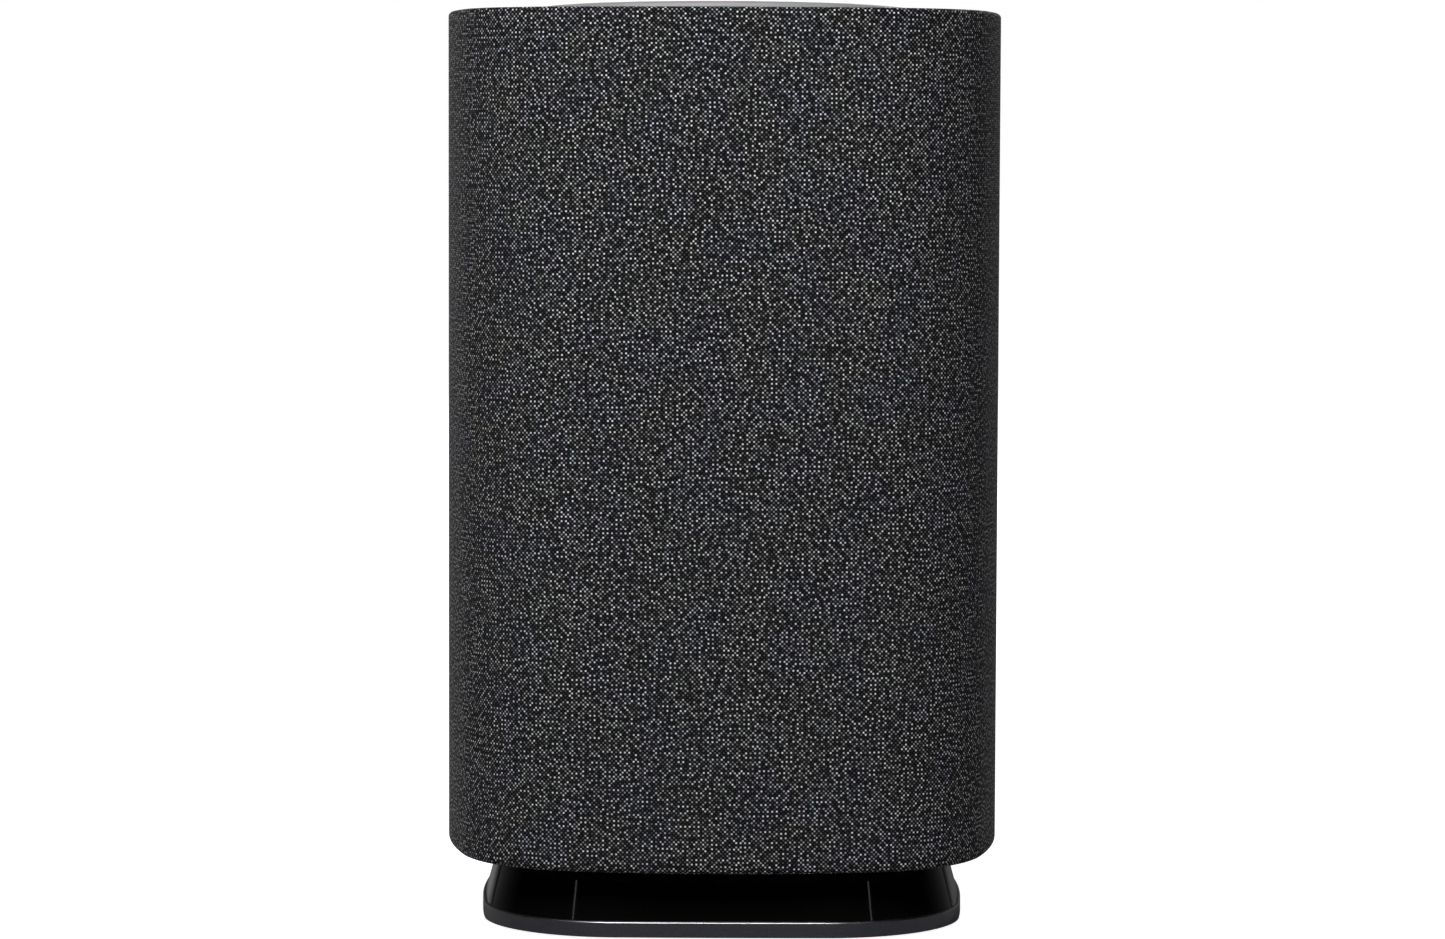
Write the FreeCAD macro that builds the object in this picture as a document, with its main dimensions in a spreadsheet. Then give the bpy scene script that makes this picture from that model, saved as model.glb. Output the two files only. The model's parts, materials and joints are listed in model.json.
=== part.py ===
import FreeCAD, Part
import math
import os
import re
import Sketcher
from FreeCAD import Rotation, Vector

# Fabric-covered smart speaker, in millimetres.
# The origin is the middle of the underside, +Z is up, the front faces -Y and +X is the right hand side
# as seen from the front.

doc = FreeCAD.newDocument("SmartSpeaker")
sheet = doc.addObject("Spreadsheet::Sheet", "Dims")

DIMENSIONS = {
    # Plan outline of the body: four long arcs joined by four corner arcs
    "body_half_width": 52.0,
    "body_half_depth": 49.0,
    "body_front_radius": 139.0,
    "body_side_radius": 102.0,
    "body_corner_radius": 26.7,
    # Plan outline of the base plate
    "plate_half_width": 45.4,
    "plate_half_depth": 42.4,
    "plate_front_radius": 1000.0,
    "plate_side_radius": 190.0,
    "plate_corner_radius": 25.6,
    # Plan outline of the raised control panel on top
    "panel_half_width": 35.5,
    "panel_half_depth": 33.5,
    "panel_front_radius": 90.0,
    "panel_side_radius": 80.0,
    "panel_corner_radius": 21.0,
    # Heights
    "foot_height": 1.2,
    "plate_bottom": 0.5,
    "foot_seat": 1.3,
    "plate_top": 3.4,
    "skirt_top": 14.0,
    "fabric_bottom": 13.1,
    "fabric_top": 169.4,
    "panel_top": 170.9,
    "chassis_top": 18.5,
    "chassis_step": 1.5,
    "chassis_hole_depth": 3.5,
    "cabinet_top": 158.0,
    "tray_top": 161.0,
    "panel_seat": 164.5,
    # Walls, gaps and edges
    "foot_inset": 3.3,
    "foot_opening": 17.0,
    "plate_edge": 0.35,
    "skirt_inset": 0.5,
    "skirt_rim": 2.6,
    "fabric_top_edge": 0.8,
    "fabric_bottom_edge": 1.2,
    "sleeve_edge": 0.9,
    "hem_inset": 2.3,
    "window_gap": 0.35,
    "window_reach": 30.0,
    "frame_inset": 2.6,
    "chassis_step_inset": 3.6,
    "overshoot": 1.0,
    "through": 6.0,
    "clear_cut": 10.0,
    "clear_reach": 60.0,
    "hole_gap": 0.1,
    "thread_bite": 0.02,
    "fabric_thick": 0.7,
    "sleeve_gap": 0.05,
    "sleeve_wall": 1.6,
    "cabinet_inset": 4.6,
    "cabinet_wall": 2.4,
    "skirt_wall": 2.2,
    "panel_wall": 2.0,
    "panel_gap": 0.4,
    "skirt_flare": 15.5,
    # Slots in the grille sleeve
    "slot_start": 20.0,
    "slot_reach": 40.0,
    "slot_low": 27.0,
    "slot_height": 4.6,
    "front_slot_half": 6.8,
    "side_slot_half": 6.0,
    # Front baffle and drivers
    "flange_face": 38.4,
    "baffle_face": 36.4,
    "baffle_back": 33.2,
    "gasket_back": 32.2,
    "baffle_half_width": 39.0,
    "baffle_low": 24.0,
    "baffle_high": 155.0,
    "baffle_corner": 4.0,
    "gasket_opening": 34.5,
    "gasket_edge": 7.5,
    "gasket_corner": 3.0,
    "baffle_head": 2.4,
    "baffle_head_height": 1.5,
    "baffle_screw_length": 9.5,
    "driver_head": 2.2,
    "driver_head_height": 1.3,
    "driver_screw_length": 5.0,
    "woofer_height": 66.0,
    "woofer_flange": 36.0,
    "woofer_throat": 30.0,
    "tweeter_height": 130.0,
    "tweeter_flange": 22.0,
    "tweeter_throat": 13.4,
    "woofer_screw_circle": 33.2,
    "tweeter_screw_circle": 18.4,
    "frame_wall": 1.6,
    "barrel_gap": 0.2,
    "basket_shoulder": 31.0,
    "basket_step": 0.6,
    "basket_floor": 18.2,
    "basket_inside": 19.2,
    "basket_hole": 9.5,
    "vent_circle": 23.5,
    "vent_radius": 4.6,
    "vent_start": 15.9,
    "vent_depth": 14.6,
    "gap_plate_front": 16.6,
    "gap_plate_back": 12.6,
    "gap_plate_radius": 20.0,
    "gap_radius": 7.7,
    "magnet_back": 5.0,
    "magnet_radius": 21.5,
    "magnet_hole": 10.0,
    "pole_radius": 6.0,
    "back_plate_radius": 20.5,
    "back_plate_back": 1.0,
    "coil_radius": 7.1,
    "coil_wall": 0.5,
    "coil_front": 24.0,
    "coil_back": 9.0,
    "coil_glue": 0.05,
    "cone_neck": 0.6,
    "cone_front": 35.4,
    "cone_back": 34.6,
    "cone_radius": 25.2,
    "surround_level": 35.0,
    "surround_circle": 27.45,
    "surround_roll": 2.25,
    "surround_skin": 0.6,
    "cap_centre": 15.8,
    "cap_radius": 14.0,
    "cap_skin": 0.6,
    "tweeter_mouth": 17.0,
    "tweeter_barrel": 14.5,
    "tweeter_lip": 36.2,
    "tweeter_back": 33.4,
    "cup_radius": 14.0,
    "cup_back": 21.0,
    "dome_centre": 28.3,
    "dome_radius": 10.6,
    "dome_skin": 0.4,
    "dome_roll_level": 34.4,
    "dome_roll_circle": 10.8,
    "dome_roll": 2.1,
    # Passive radiators in the sides
    "radiator_face": 44.4,
    "radiator_seat": 42.6,
    "radiator_flange": 24.4,
    "radiator_throat": 21.0,
    "radiator_plate": 15.0,
    "radiator_roll": 3.0,
    "radiator_skin": 0.7,
    "radiator_roll_circle": 17.6,
    "radiator_screw_circle": 22.7,
    "radiator_gap": 0.3,
    "radiator_boss": 26.0,
    "radiator_boss_start": 40.2,
    "radiator_boss_length": 5.4,
    "radiator_cut_start": 38.0,
    "radiator_roll_drop": 1.0,
    "radiator_plate_drop": 0.8,
    "radiator_plate_thick": 1.2,
    "radiator_screw_hole": 0.9,
    "radiator_head": 1.5,
    "radiator_head_height": 0.8,
    "radiator_screw": 0.8,
    "radiator_screw_length": 1.7,
    # Cabinet details
    "rear_frame_half": 24.0,
    "rear_frame_over": 2.5,
    "rear_frame_depth": 4.2,
    "rear_opening_half": 17.0,
    "rear_opening_edge": 5.0,
    "rear_flat_half": 20.0,
    "rear_flat_depth": 5.0,
    "tray_boss": 3.4,
    "tray_boss_length": 12.0,
    "tray_hole_depth": 9.0,
    "baffle_boss": 3.2,
    "baffle_boss_length": 7.0,
    "baffle_hole_depth": 9.0,
    "board_post": 2.6,
    "board_post_length": 12.6,
    "rear_screw_inset_x": 2.9,
    "rear_screw_inset_z": 3.6,
    "rear_head": 2.2,
    "rear_head_height": 1.0,
    "rear_head_pocket": 1.1,
    "rear_screw_length": 7.0,
    # Rear service panel
    "rear_half_width": 22.0,
    "rear_low": 19.0,
    "rear_high": 73.0,
    "rear_corner": 6.0,
    "rear_face": 46.4,
    "rear_seat": 44.2,
    "inlet_height": 34.0,
    "network_height": 54.0,
    "pairing_offset": 13.0,
    "pairing_radius": 2.6,
    "inlet_half_width": 12.0,
    "inlet_half_height": 8.0,
    "network_half_width": 8.5,
    "network_half_height": 7.0,
    "inlet_corner": 1.9,
    "inlet_depth": 13.4,
    "inlet_cut": 11.4,
    "inlet_slot_half": 4.1,
    "inlet_slot_radius": 4.3,
    "pin_offset": 4.3,
    "pin_radius": 1.2,
    "pin_length": 8.8,
    "pin_root": 10.4,
    "network_depth": 15.4,
    "network_cut": 14.0,
    "network_opening_half": 6.0,
    "network_opening_low": 4.0,
    "network_opening_high": 4.2,
    "latch_half": 3.0,
    "latch_low": 5.8,
    "latch_high": 3.9,
    "latch_cut": 12.0,
    "contact_pitch": 1.02,
    "contact_width": 0.4,
    "contact_root": 13.0,
    "contact_length": 9.0,
    "contact_level": 3.4,
    "contact_height": 0.8,
    "pairing_proud": 0.3,
    "pairing_length": 3.8,
    "pairing_flange": 0.8,
    "pairing_flange_length": 1.0,
    # Controls
    "play_radius": 8.5,
    "volume_radius": 5.5,
    "volume_offset": 20.0,
    "mute_radius": 4.0,
    "mute_offset": 20.0,
    "key_gap": 0.3,
    "key_drop": 0.2,
    "key_bottom": 166.9,
    "key_flange": 1.2,
    "key_edge": 0.25,
    "panel_edge": 1.0,
    "crown_radius": 850.0,
    "crown_reach": 45.0,
    "light_offset": 26.0,
    "light_radius": 1.2,
    "board_under_keys": 163.0,
    "key_board_thick": 1.4,
    "tray_lip_gap": 0.2,
    "key_post_x": 24.0,
    "key_post_y": 12.0,
    "key_post": 2.0,
    "tray_head": 2.3,
    "tray_head_height": 1.4,
    "tray_screw_length": 9.0,
    "key_board_gap": 0.8,
    "mic_x": 23.0,
    "mic_y": 19.0,
    "mic_hole": 0.6,
    "mic_half_length": 1.8,
    "mic_half_width": 1.4,
    "switch_half": 3.0,
    "switch_height": 1.0,
    "stem_radius": 1.6,
    "stem_height": 0.8,
    # Fastenings
    "screw_radius": 1.45,
    "small_screw_radius": 1.2,
    "insert_radius": 6.0,
    "insert_bore": 2.65,
    "base_screw_x": 26.0,
    "base_screw_y": 23.0,
    "base_post": 4.2,
    "insert_level": 0.9,
    "insert_length": 11.1,
    "insert_pocket": 8.6,
    "base_head": 2.9,
    "base_head_height": 1.3,
    "base_screw_length": 14.5,
    "insert_bore_depth": 9.6,
    "tray_screw_x": 38.8,
    "tray_screw_y": 22.0,
    "baffle_screw_x": 35.5,
    "baffle_screw_low": 28.0,
    "baffle_screw_middle": 105.0,
    "baffle_screw_high": 151.0,
    "board_back": 27.6,
    "board_front": 26.0,
    "post_x": 28.0,
    # Boards and what stands on them
    "board_half_width": 32.0,
    "board_corner": 2.0,
    "board_hole": 1.1,
    "board_head": 2.2,
    "board_head_height": 1.2,
    "board_screw": 1.0,
    "board_screw_length": 1.5,
    "power_board_low": 22.0,
    "power_board_high": 78.0,
    "power_post_low": 26.0,
    "power_post_high": 74.0,
    "main_board_low": 84.0,
    "main_board_high": 152.0,
    "main_post_low": 88.0,
    "main_post_high": 148.0,
    "core_left": 26.0,
    "core_front": 8.0,
    "core_low": 28.0,
    "core_size": 18.0,
    "core_width": 20.0,
    "winding_radius": 7.5,
    "winding_length": 3.0,
    "capacitor_near": 8.0,
    "capacitor_far": 21.0,
    "capacitor_level": 34.0,
    "capacitor_radius": 5.5,
    "can_height": 1.6,
    "amplifier_face": 19.6,
    "amplifier_half_width": 22.0,
    "amplifier_low": 92.0,
    "amplifier_high": 104.0,
    "amplifier_corner": 1.0,
    "amplifier_thick": 1.6,
    "spacer_offset": 18.0,
    "spacer_radius": 1.8,
    "sink_half_width": 20.0,
    "sink_low": 93.0,
    "sink_height": 10.0,
    "sink_plate_front": 16.0,
    "sink_plate_thick": 2.0,
    "fin_depth": 8.0,
    "fin_thick": 1.0,
    "fin_pitch": 4.875,
    "antenna_inside": 44.1,
    "antenna_thick": 0.6,
    "antenna_half_width": 7.0,
    "antenna_low": 108.0,
    "antenna_height": 30.0,
    "wadding_half_width": 31.0,
    "wadding_front": 22.0,
    "wadding_back": 21.0,
    "wadding_corner": 8.0,
    "wadding_thick": 11.0,
}

for row, (name, number) in enumerate(DIMENSIONS.items(), start=1):
    sheet.set(f"A{row}", name)
    sheet.set(f"B{row}", str(number))
    sheet.setAlias(f"B{row}", name)
doc.recompute()

NODES = []


def formula(text):
    """Name the sheet in front of every dimension in a formula."""
    return re.sub(r"[a-z_]+", lambda word: "Dims." + word[0] if word[0] in DIMENSIONS else word[0],
                  str(text))


def number(text):
    """The present value of a formula."""
    return float(sheet.evalExpression(formula(text)))


def bind(thing, prop, text):
    thing.setExpression(prop, formula(text))


def keep(thing, label):
    """Name a finished sub-part; its label is the name of its file."""
    thing.Label = label
    NODES.append(thing)
    return thing


def place(thing, spot):
    for axis, text in zip("xyz", spot):
        bind(thing, f"Placement.Base.{axis}", text)


# ---------------------------------------------------------------- sketches

def new_body(label, spot=None):
    body = doc.addObject("PartDesign::Body", label)
    if spot:
        place(body, spot)
    return keep(body, label)


def new_sketch(body, role="XY_Plane", level="0"):
    sketch = body.newObject("Sketcher::SketchObject", "Sketch")
    plane = next(item for item in body.Origin.OriginFeatures if item.Role == role)
    sketch.AttachmentSupport = [(plane, "")]
    sketch.MapMode = "FlatFace"
    bind(sketch, "AttachmentOffset.Base.z", level)
    return sketch


def fix(sketch, kind, *parts, value):
    """Add a dimension to a sketch and bind it to a formula."""
    index = sketch.addConstraint(Sketcher.Constraint(kind, *parts, number(value)))
    bind(sketch, f"Constraints[{index}]", value)


def circle(sketch, x, y, radius):
    index = sketch.addGeometry(Part.Circle(Vector(number(x), number(y), 0), Vector(0, 0, 1),
                                           number(radius)))
    fix(sketch, "DistanceX", index, 3, value=x)
    fix(sketch, "DistanceY", index, 3, value=y)
    fix(sketch, "Radius", index, value=radius)


def polygon(sketch, corners):
    """A closed outline of straight lines; every corner is a pair of formulas."""
    spots = [Vector(number(x), number(y), 0) for x, y in corners]
    first = sketch.GeometryCount
    count = len(spots)
    for index, spot in enumerate(spots):
        sketch.addGeometry(Part.LineSegment(spot, spots[(index + 1) % count]))
    for index, (x, y) in enumerate(corners):
        sketch.addConstraint(Sketcher.Constraint("Coincident", first + index - 1 + (index == 0) * count, 2,
                                                 first + index, 1))
        fix(sketch, "DistanceX", first + index, 1, value=x)
        fix(sketch, "DistanceY", first + index, 1, value=y)


def rectangle(sketch, left, low, right, high):
    polygon(sketch, [(left, low), (right, low), (right, high), (left, high)])


def rounded_rectangle(sketch, half_width, low, high, corner):
    """A rectangle about the vertical axis with four equal round corners."""
    half = number(half_width)
    radius = number(corner)
    bottom = number(low)
    top = number(high)
    first = sketch.GeometryCount
    centres = [(half - radius, bottom + radius), (half - radius, top - radius),
               (radius - half, top - radius), (radius - half, bottom + radius)]
    for index, (x, y) in enumerate(centres):
        start = (index - 1) * math.pi / 2
        ring = Part.Circle(Vector(x, y, 0), Vector(0, 0, 1), radius)
        sketch.addGeometry(Part.ArcOfCircle(ring, start, start + math.pi / 2))
    for index in range(4):
        after = (index + 1) % 4
        begin = sketch.getPoint(first + index, 2)
        end = sketch.getPoint(first + after, 1)
        line = sketch.addGeometry(Part.LineSegment(begin, end))
        sketch.addConstraint(Sketcher.Constraint("Tangent", first + index, 2, line, 1))
        sketch.addConstraint(Sketcher.Constraint("Tangent", line, 2, first + after, 1))
        direction = "Vertical" if index % 2 == 0 else "Horizontal"
        sketch.addConstraint(Sketcher.Constraint(direction, line))
    for index in range(3):
        sketch.addConstraint(Sketcher.Constraint("Equal", first + index, first + index + 1))
    fix(sketch, "Radius", first, value=corner)
    fix(sketch, "DistanceX", first, 3, value=f"({half_width}) - ({corner})")
    fix(sketch, "DistanceY", first, 3, value=f"({low}) + ({corner})")
    fix(sketch, "DistanceX", first + 2, 3, value=f"({corner}) - ({half_width})")
    fix(sketch, "DistanceY", first + 2, 3, value=f"({high}) - ({corner})")


def outline(sketch, family, inset="0"):
    """The eight-arc plan outline of a family of parts, moved inwards by inset all round.

    Front and back arcs are centred on the Y axis, side arcs on the X axis, and each corner arc is tangent to
    the two long arcs beside it.
    """
    names = {key: f"({family}_{key} - ({inset}))" for key in
             ("half_width", "half_depth", "front_radius", "side_radius", "corner_radius")}
    half_width, half_depth, front, side, corner = [number(names[key]) for key in names]
    front_centre = front - half_depth
    side_centre = side - half_width
    # The corner arc's centre is front - corner from one long arc's centre and side - corner from the other's
    reach = math.hypot(front_centre, side_centre)
    far = front - corner
    near = side - corner
    along = (far ** 2 - near ** 2 + reach ** 2) / (2 * reach)
    across = math.sqrt(far ** 2 - along ** 2)
    corner_x = abs(front_centre * across - side_centre * along) / reach
    corner_y = -abs(front_centre - (front_centre * along + side_centre * across) / reach)
    front_turn = math.atan2(corner_y - front_centre, corner_x)
    side_turn = math.atan2(corner_y, corner_x + side_centre)
    quarter = math.pi / 2
    arcs = [
        ((0, front_centre), front, -2 * quarter - front_turn, front_turn),
        ((corner_x, corner_y), corner, front_turn, side_turn),
        ((-side_centre, 0), side, side_turn, -side_turn),
        ((corner_x, -corner_y), corner, -side_turn, -front_turn),
        ((0, -front_centre), front, -front_turn, 2 * quarter + front_turn),
        ((-corner_x, -corner_y), corner, 2 * quarter + front_turn, 2 * quarter + side_turn),
        ((side_centre, 0), side, 2 * quarter + side_turn, 2 * quarter - side_turn),
        ((-corner_x, corner_y), corner, -2 * quarter - side_turn, -2 * quarter - front_turn),
    ]
    first = sketch.GeometryCount
    for (x, y), radius, start, end in arcs:
        ring = Part.Circle(Vector(x, y, 0), Vector(0, 0, 1), radius)
        sketch.addGeometry(Part.ArcOfCircle(ring, start, end))
    for index in range(8):
        after = (index + 1) % 8
        sketch.addConstraint(Sketcher.Constraint("Tangent", first + index, 2, first + after, 1))
    for index in (1, 3, 5):
        sketch.addConstraint(Sketcher.Constraint("Equal", first + index, first + index + 2))
    sketch.addConstraint(Sketcher.Constraint("Equal", first, first + 4))
    sketch.addConstraint(Sketcher.Constraint("Equal", first + 2, first + 6))
    fix(sketch, "Radius", first, value=names["front_radius"])
    fix(sketch, "Radius", first + 1, value=names["corner_radius"])
    fix(sketch, "Radius", first + 2, value=names["side_radius"])
    fix(sketch, "DistanceX", first, 3, value="0")
    fix(sketch, "DistanceX", first + 4, 3, value="0")
    fix(sketch, "DistanceY", first + 2, 3, value="0")
    fix(sketch, "DistanceY", first + 6, 3, value="0")
    fix(sketch, "DistanceY", first, 3, value=f"{family}_front_radius - {family}_half_depth")
    fix(sketch, "DistanceY", first + 4, 3, value=f"{family}_half_depth - {family}_front_radius")
    fix(sketch, "DistanceX", first + 2, 3, value=f"{family}_half_width - {family}_side_radius")
    fix(sketch, "DistanceX", first + 6, 3, value=f"{family}_side_radius - {family}_half_width")


def arc_band(sketch, x, y, radius, thick, start, end):
    """A curved strip between two concentric arcs, from one angle in degrees to another."""
    centre = Vector(number(x), number(y), 0)
    outer_radius = number(radius)
    inner_radius = number(f"({radius}) - ({thick})")
    angles = [math.radians(start), math.radians(end)]
    first = sketch.GeometryCount
    for size in (outer_radius, inner_radius):
        sketch.addGeometry(Part.ArcOfCircle(Part.Circle(centre, Vector(0, 0, 1), size), *angles))
    for angle, tip in zip(angles, (1, 2)):
        ray = Vector(math.cos(angle), math.sin(angle), 0)
        line = sketch.addGeometry(Part.LineSegment(centre + ray * inner_radius,
                                                   centre + ray * outer_radius))
        sketch.addConstraint(Sketcher.Constraint("Coincident", line, 1, first + 1, tip))
        sketch.addConstraint(Sketcher.Constraint("Coincident", line, 2, first, tip))
        sketch.addConstraint(Sketcher.Constraint("Angle", line, angle))
    sketch.addConstraint(Sketcher.Constraint("Coincident", first, 3, first + 1, 3))
    fix(sketch, "DistanceX", first, 3, value=x)
    fix(sketch, "DistanceY", first, 3, value=y)
    fix(sketch, "Radius", first, value=radius)
    fix(sketch, "Radius", first + 1, value=f"({radius}) - ({thick})")


# ---------------------------------------------------------------- features

def add_feature(body, kind, sketch, length, backwards=False, taper=None):
    """Pad or pocket a sketch; a pocket that takes nothing away stops the script."""
    doc.recompute()
    before = body.Shape.Volume if body.Tip else 0.0
    feature = body.newObject(f"PartDesign::{kind}", kind)
    feature.Profile = sketch
    feature.Reversed = backwards
    bind(feature, "Length", length)
    if taper:
        bind(feature, "TaperAngle", taper)
    doc.recompute()
    change = body.Shape.Volume - before
    if (kind == "Pad") != (change > 0):
        raise RuntimeError(f"{body.Label}: {kind} changed the volume by {change:.3f}")
    return feature


def draw(sketch, shape):
    """Draw a shape, given as the drawing function and its measures."""
    function, *measures = shape
    function(sketch, *measures)


def pad(body, shape, level, length, role="XY_Plane", backwards=False, taper=None):
    sketch = new_sketch(body, role, level)
    draw(sketch, shape)
    return add_feature(body, "Pad", sketch, length, backwards, taper)


def pocket(body, shape, level, length, role="XY_Plane", backwards=False):
    """Cut from level along the plane's own normal; backwards cuts the other way."""
    sketch = new_sketch(body, role, level)
    draw(sketch, shape)
    return add_feature(body, "Pocket", sketch, length, not backwards)


def revolve(body, shape, role):
    """Turn a profile about the sketch's horizontal axis."""
    sketch = new_sketch(body, role)
    draw(sketch, shape)
    doc.recompute()
    feature = body.newObject("PartDesign::Revolution", "Turned")
    feature.Profile = sketch
    feature.ReferenceAxis = (sketch, ["H_Axis"])
    feature.Angle = 360
    doc.recompute()
    return feature


def edges_at(body, level):
    """Names of the edges that lie level at one height."""
    found = []
    for index, edge in enumerate(body.Shape.Edges, start=1):
        box = edge.BoundBox
        if abs(box.ZMin - level) < 1e-4 and abs(box.ZMax - level) < 1e-4:
            found.append(f"Edge{index}")
    return found


def edges_above(body, level):
    """Names of the edges that lie wholly above one height."""
    return [f"Edge{index}" for index, edge in enumerate(body.Shape.Edges, start=1)
            if edge.BoundBox.ZMin > level]


def outer_edges_at(body, level, reach):
    """Level edges at one height whose middle is at least reach from the Z axis."""
    found = []
    for name in edges_at(body, level):
        edge = body.Shape.getElement(name)
        middle = edge.valueAt((edge.FirstParameter + edge.LastParameter) / 2)
        if math.hypot(middle.x, middle.y) >= reach:
            found.append(name)
    return found


def soften(body, kind, names, size):
    """Fillet or chamfer some edges of the body's tip."""
    base = body.Tip
    feature = body.newObject(f"PartDesign::{kind}", kind)
    feature.Base = (base, names)
    bind(feature, "Radius" if kind == "Fillet" else "Size", size)
    doc.recompute()
    return feature


def box(label, x, y, z, length, width, height, final=True):
    thing = doc.addObject("Part::Box", label)
    bind(thing, "Length", length)
    bind(thing, "Width", width)
    bind(thing, "Height", height)
    place(thing, (x, y, z))
    return keep(thing, label) if final else thing


TURNS = {"z": Rotation(), "y": Rotation(Vector(1, 0, 0), -90), "x": Rotation(Vector(0, 1, 0), 90)}


def rod(label, spot, radius, length, axis="z", final=True):
    """A cylinder that starts at spot and runs along +X, +Y or +Z."""
    thing = doc.addObject("Part::Cylinder", label)
    bind(thing, "Radius", radius)
    bind(thing, "Height", length)
    thing.Placement = FreeCAD.Placement(Vector(), TURNS[axis])
    place(thing, spot)
    return keep(thing, label) if final else thing


def group(label, pieces):
    """Several separate solids that share one node."""
    thing = doc.addObject("Part::Compound", label)
    thing.Links = pieces
    return keep(thing, label)


def fused(label, pieces, final=True):
    thing = doc.addObject("Part::MultiFuse", label)
    thing.Shapes = pieces
    return keep(thing, label) if final else thing


def cut(label, base, tool, final=True):
    thing = doc.addObject("Part::Cut", label)
    thing.Base = base
    thing.Tool = tool
    return keep(thing, label) if final else thing


def screw_pieces(label, spots, axis, direction, head_radius, head_height, radius, length):
    """Pan-head screws; each spot is the middle of a head's underside, direction is +1 or -1 along the axis.

    The shank runs from the spot along the direction and the head stands on the other side.
    """
    pieces = []
    for index, spot in enumerate(spots):
        along = "xyz".index(axis)
        head_spot = list(spot)
        shank_spot = list(spot)
        if direction > 0:
            head_spot[along] = f"({spot[along]}) - ({head_height})"
        else:
            shank_spot[along] = f"({spot[along]}) - ({length})"
        head = rod(f"{label}_head_{index}", head_spot, head_radius, head_height, axis, final=False)
        socket_spot = list(head_spot)
        socket_spot[along] = (f"({head_spot[along]}) - 0.1" if direction > 0
                              else f"({head_spot[along]}) + ({head_height}) * 0.4")
        socket = rod(f"{label}_recess_{index}", socket_spot, f"({head_radius}) * 0.42",
                     f"({head_height}) * 0.6 + 0.1", axis, final=False)
        cut_head = cut(f"{label}_driven_{index}", head, socket, final=False)
        shank = rod(f"{label}_shank_{index}", shank_spot, radius, length, axis, final=False)
        pieces.append(fused(f"{label}_{index}", [cut_head, shank], final=False))
    return pieces


def screws(label, *measures):
    """One node that holds a set of identical screws."""
    return group(label, screw_pieces(label, *measures))


def mirrored_spots(x, y):
    return [(f"{i} * ({x})", f"{j} * ({y})") for i in (-1, 1) for j in (-1, 1)]


# ---------------------------------------------------------------- base

def make_base():
    foot = new_body("rubber_foot")
    pad(foot, (outline, "plate", "foot_inset"), "0", "foot_height")
    pocket(foot, (circle, "0", "0", "foot_opening"), "0", "foot_height")

    plate = new_body("base_plate")
    pad(plate, (outline, "plate"), "plate_bottom", "plate_top - plate_bottom")
    pocket(plate, (outline, "plate", "foot_inset - hole_gap"), "plate_bottom", "foot_seat - plate_bottom")
    pocket(plate, (circle, "0", "0", "insert_radius + hole_gap"), "plate_bottom", "plate_top")
    for x, y in mirrored_spots("base_screw_x", "base_screw_y"):
        pocket(plate, (circle, x, y, "screw_radius + hole_gap"), "plate_bottom", "plate_top")
        pocket(plate, (circle, x, y, "base_head + hole_gap"), "plate_bottom",
               "foot_seat - plate_bottom + base_head_height")
    rim_reach = 40
    soften(plate, "Fillet", outer_edges_at(plate, DIMENSIONS["plate_top"], rim_reach), "plate_edge")

    skirt = new_body("base_skirt")
    pad(skirt, (outline, "plate", "skirt_inset"), "plate_top", "skirt_top - plate_top",
        taper="-skirt_flare")
    pocket(skirt, (outline, "plate", "skirt_inset + skirt_wall + skirt_rim"), "plate_top",
           "skirt_top - plate_top - skirt_wall")
    for x, y in mirrored_spots("base_screw_x", "base_screw_y"):
        pad(skirt, (circle, x, y, "base_post"), "plate_top", "skirt_top - plate_top - skirt_wall / 2")
        pocket(skirt, (circle, x, y, "screw_radius + hole_gap"), "plate_top", "skirt_top")
    pad(skirt, (circle, "0", "0", "insert_radius + skirt_wall"), "plate_top",
        "skirt_top - plate_top - skirt_wall / 2")
    pocket(skirt, (circle, "0", "0", "insert_radius + hole_gap / 2"), "plate_top", "insert_pocket")

    insert = new_body("stand_insert")
    pad(insert, (circle, "0", "0", "insert_radius"), "insert_level", "insert_length")
    pocket(insert, (circle, "0", "0", "insert_bore"), "insert_level", "insert_bore_depth")

    spots = [(x, y, "foot_seat + base_head_height - hole_gap / 2")
             for x, y in mirrored_spots("base_screw_x", "base_screw_y")]
    screws("base_screws", spots, "z", 1, "base_head - hole_gap", "base_head_height - hole_gap",
           "screw_radius", "base_screw_length")


# ---------------------------------------------------------------- enclosure

def make_chassis():
    """Inner floor: a narrow step through the sleeve's bottom opening, and a wide plate above it."""
    chassis = new_body("lower_chassis")
    pad(chassis, (outline, "plate", "chassis_step_inset"), "skirt_top", "chassis_step")
    pad(chassis, (outline, "body", "frame_inset"), "skirt_top + chassis_step",
        "chassis_top - skirt_top - chassis_step")
    for x, y in mirrored_spots("base_screw_x", "base_screw_y"):
        pocket(chassis, (circle, x, y, "screw_radius + thread_bite"), "skirt_top", "chassis_hole_depth")


def cut_rear_window(body):
    """The opening in the back wall for the service panel."""
    window = (rounded_rectangle, "rear_half_width + window_gap", "rear_low - window_gap",
              "rear_high + window_gap", "rear_corner + window_gap")
    pocket(body, window, "-window_reach", "window_reach", role="XZ_Plane", backwards=True)


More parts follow.
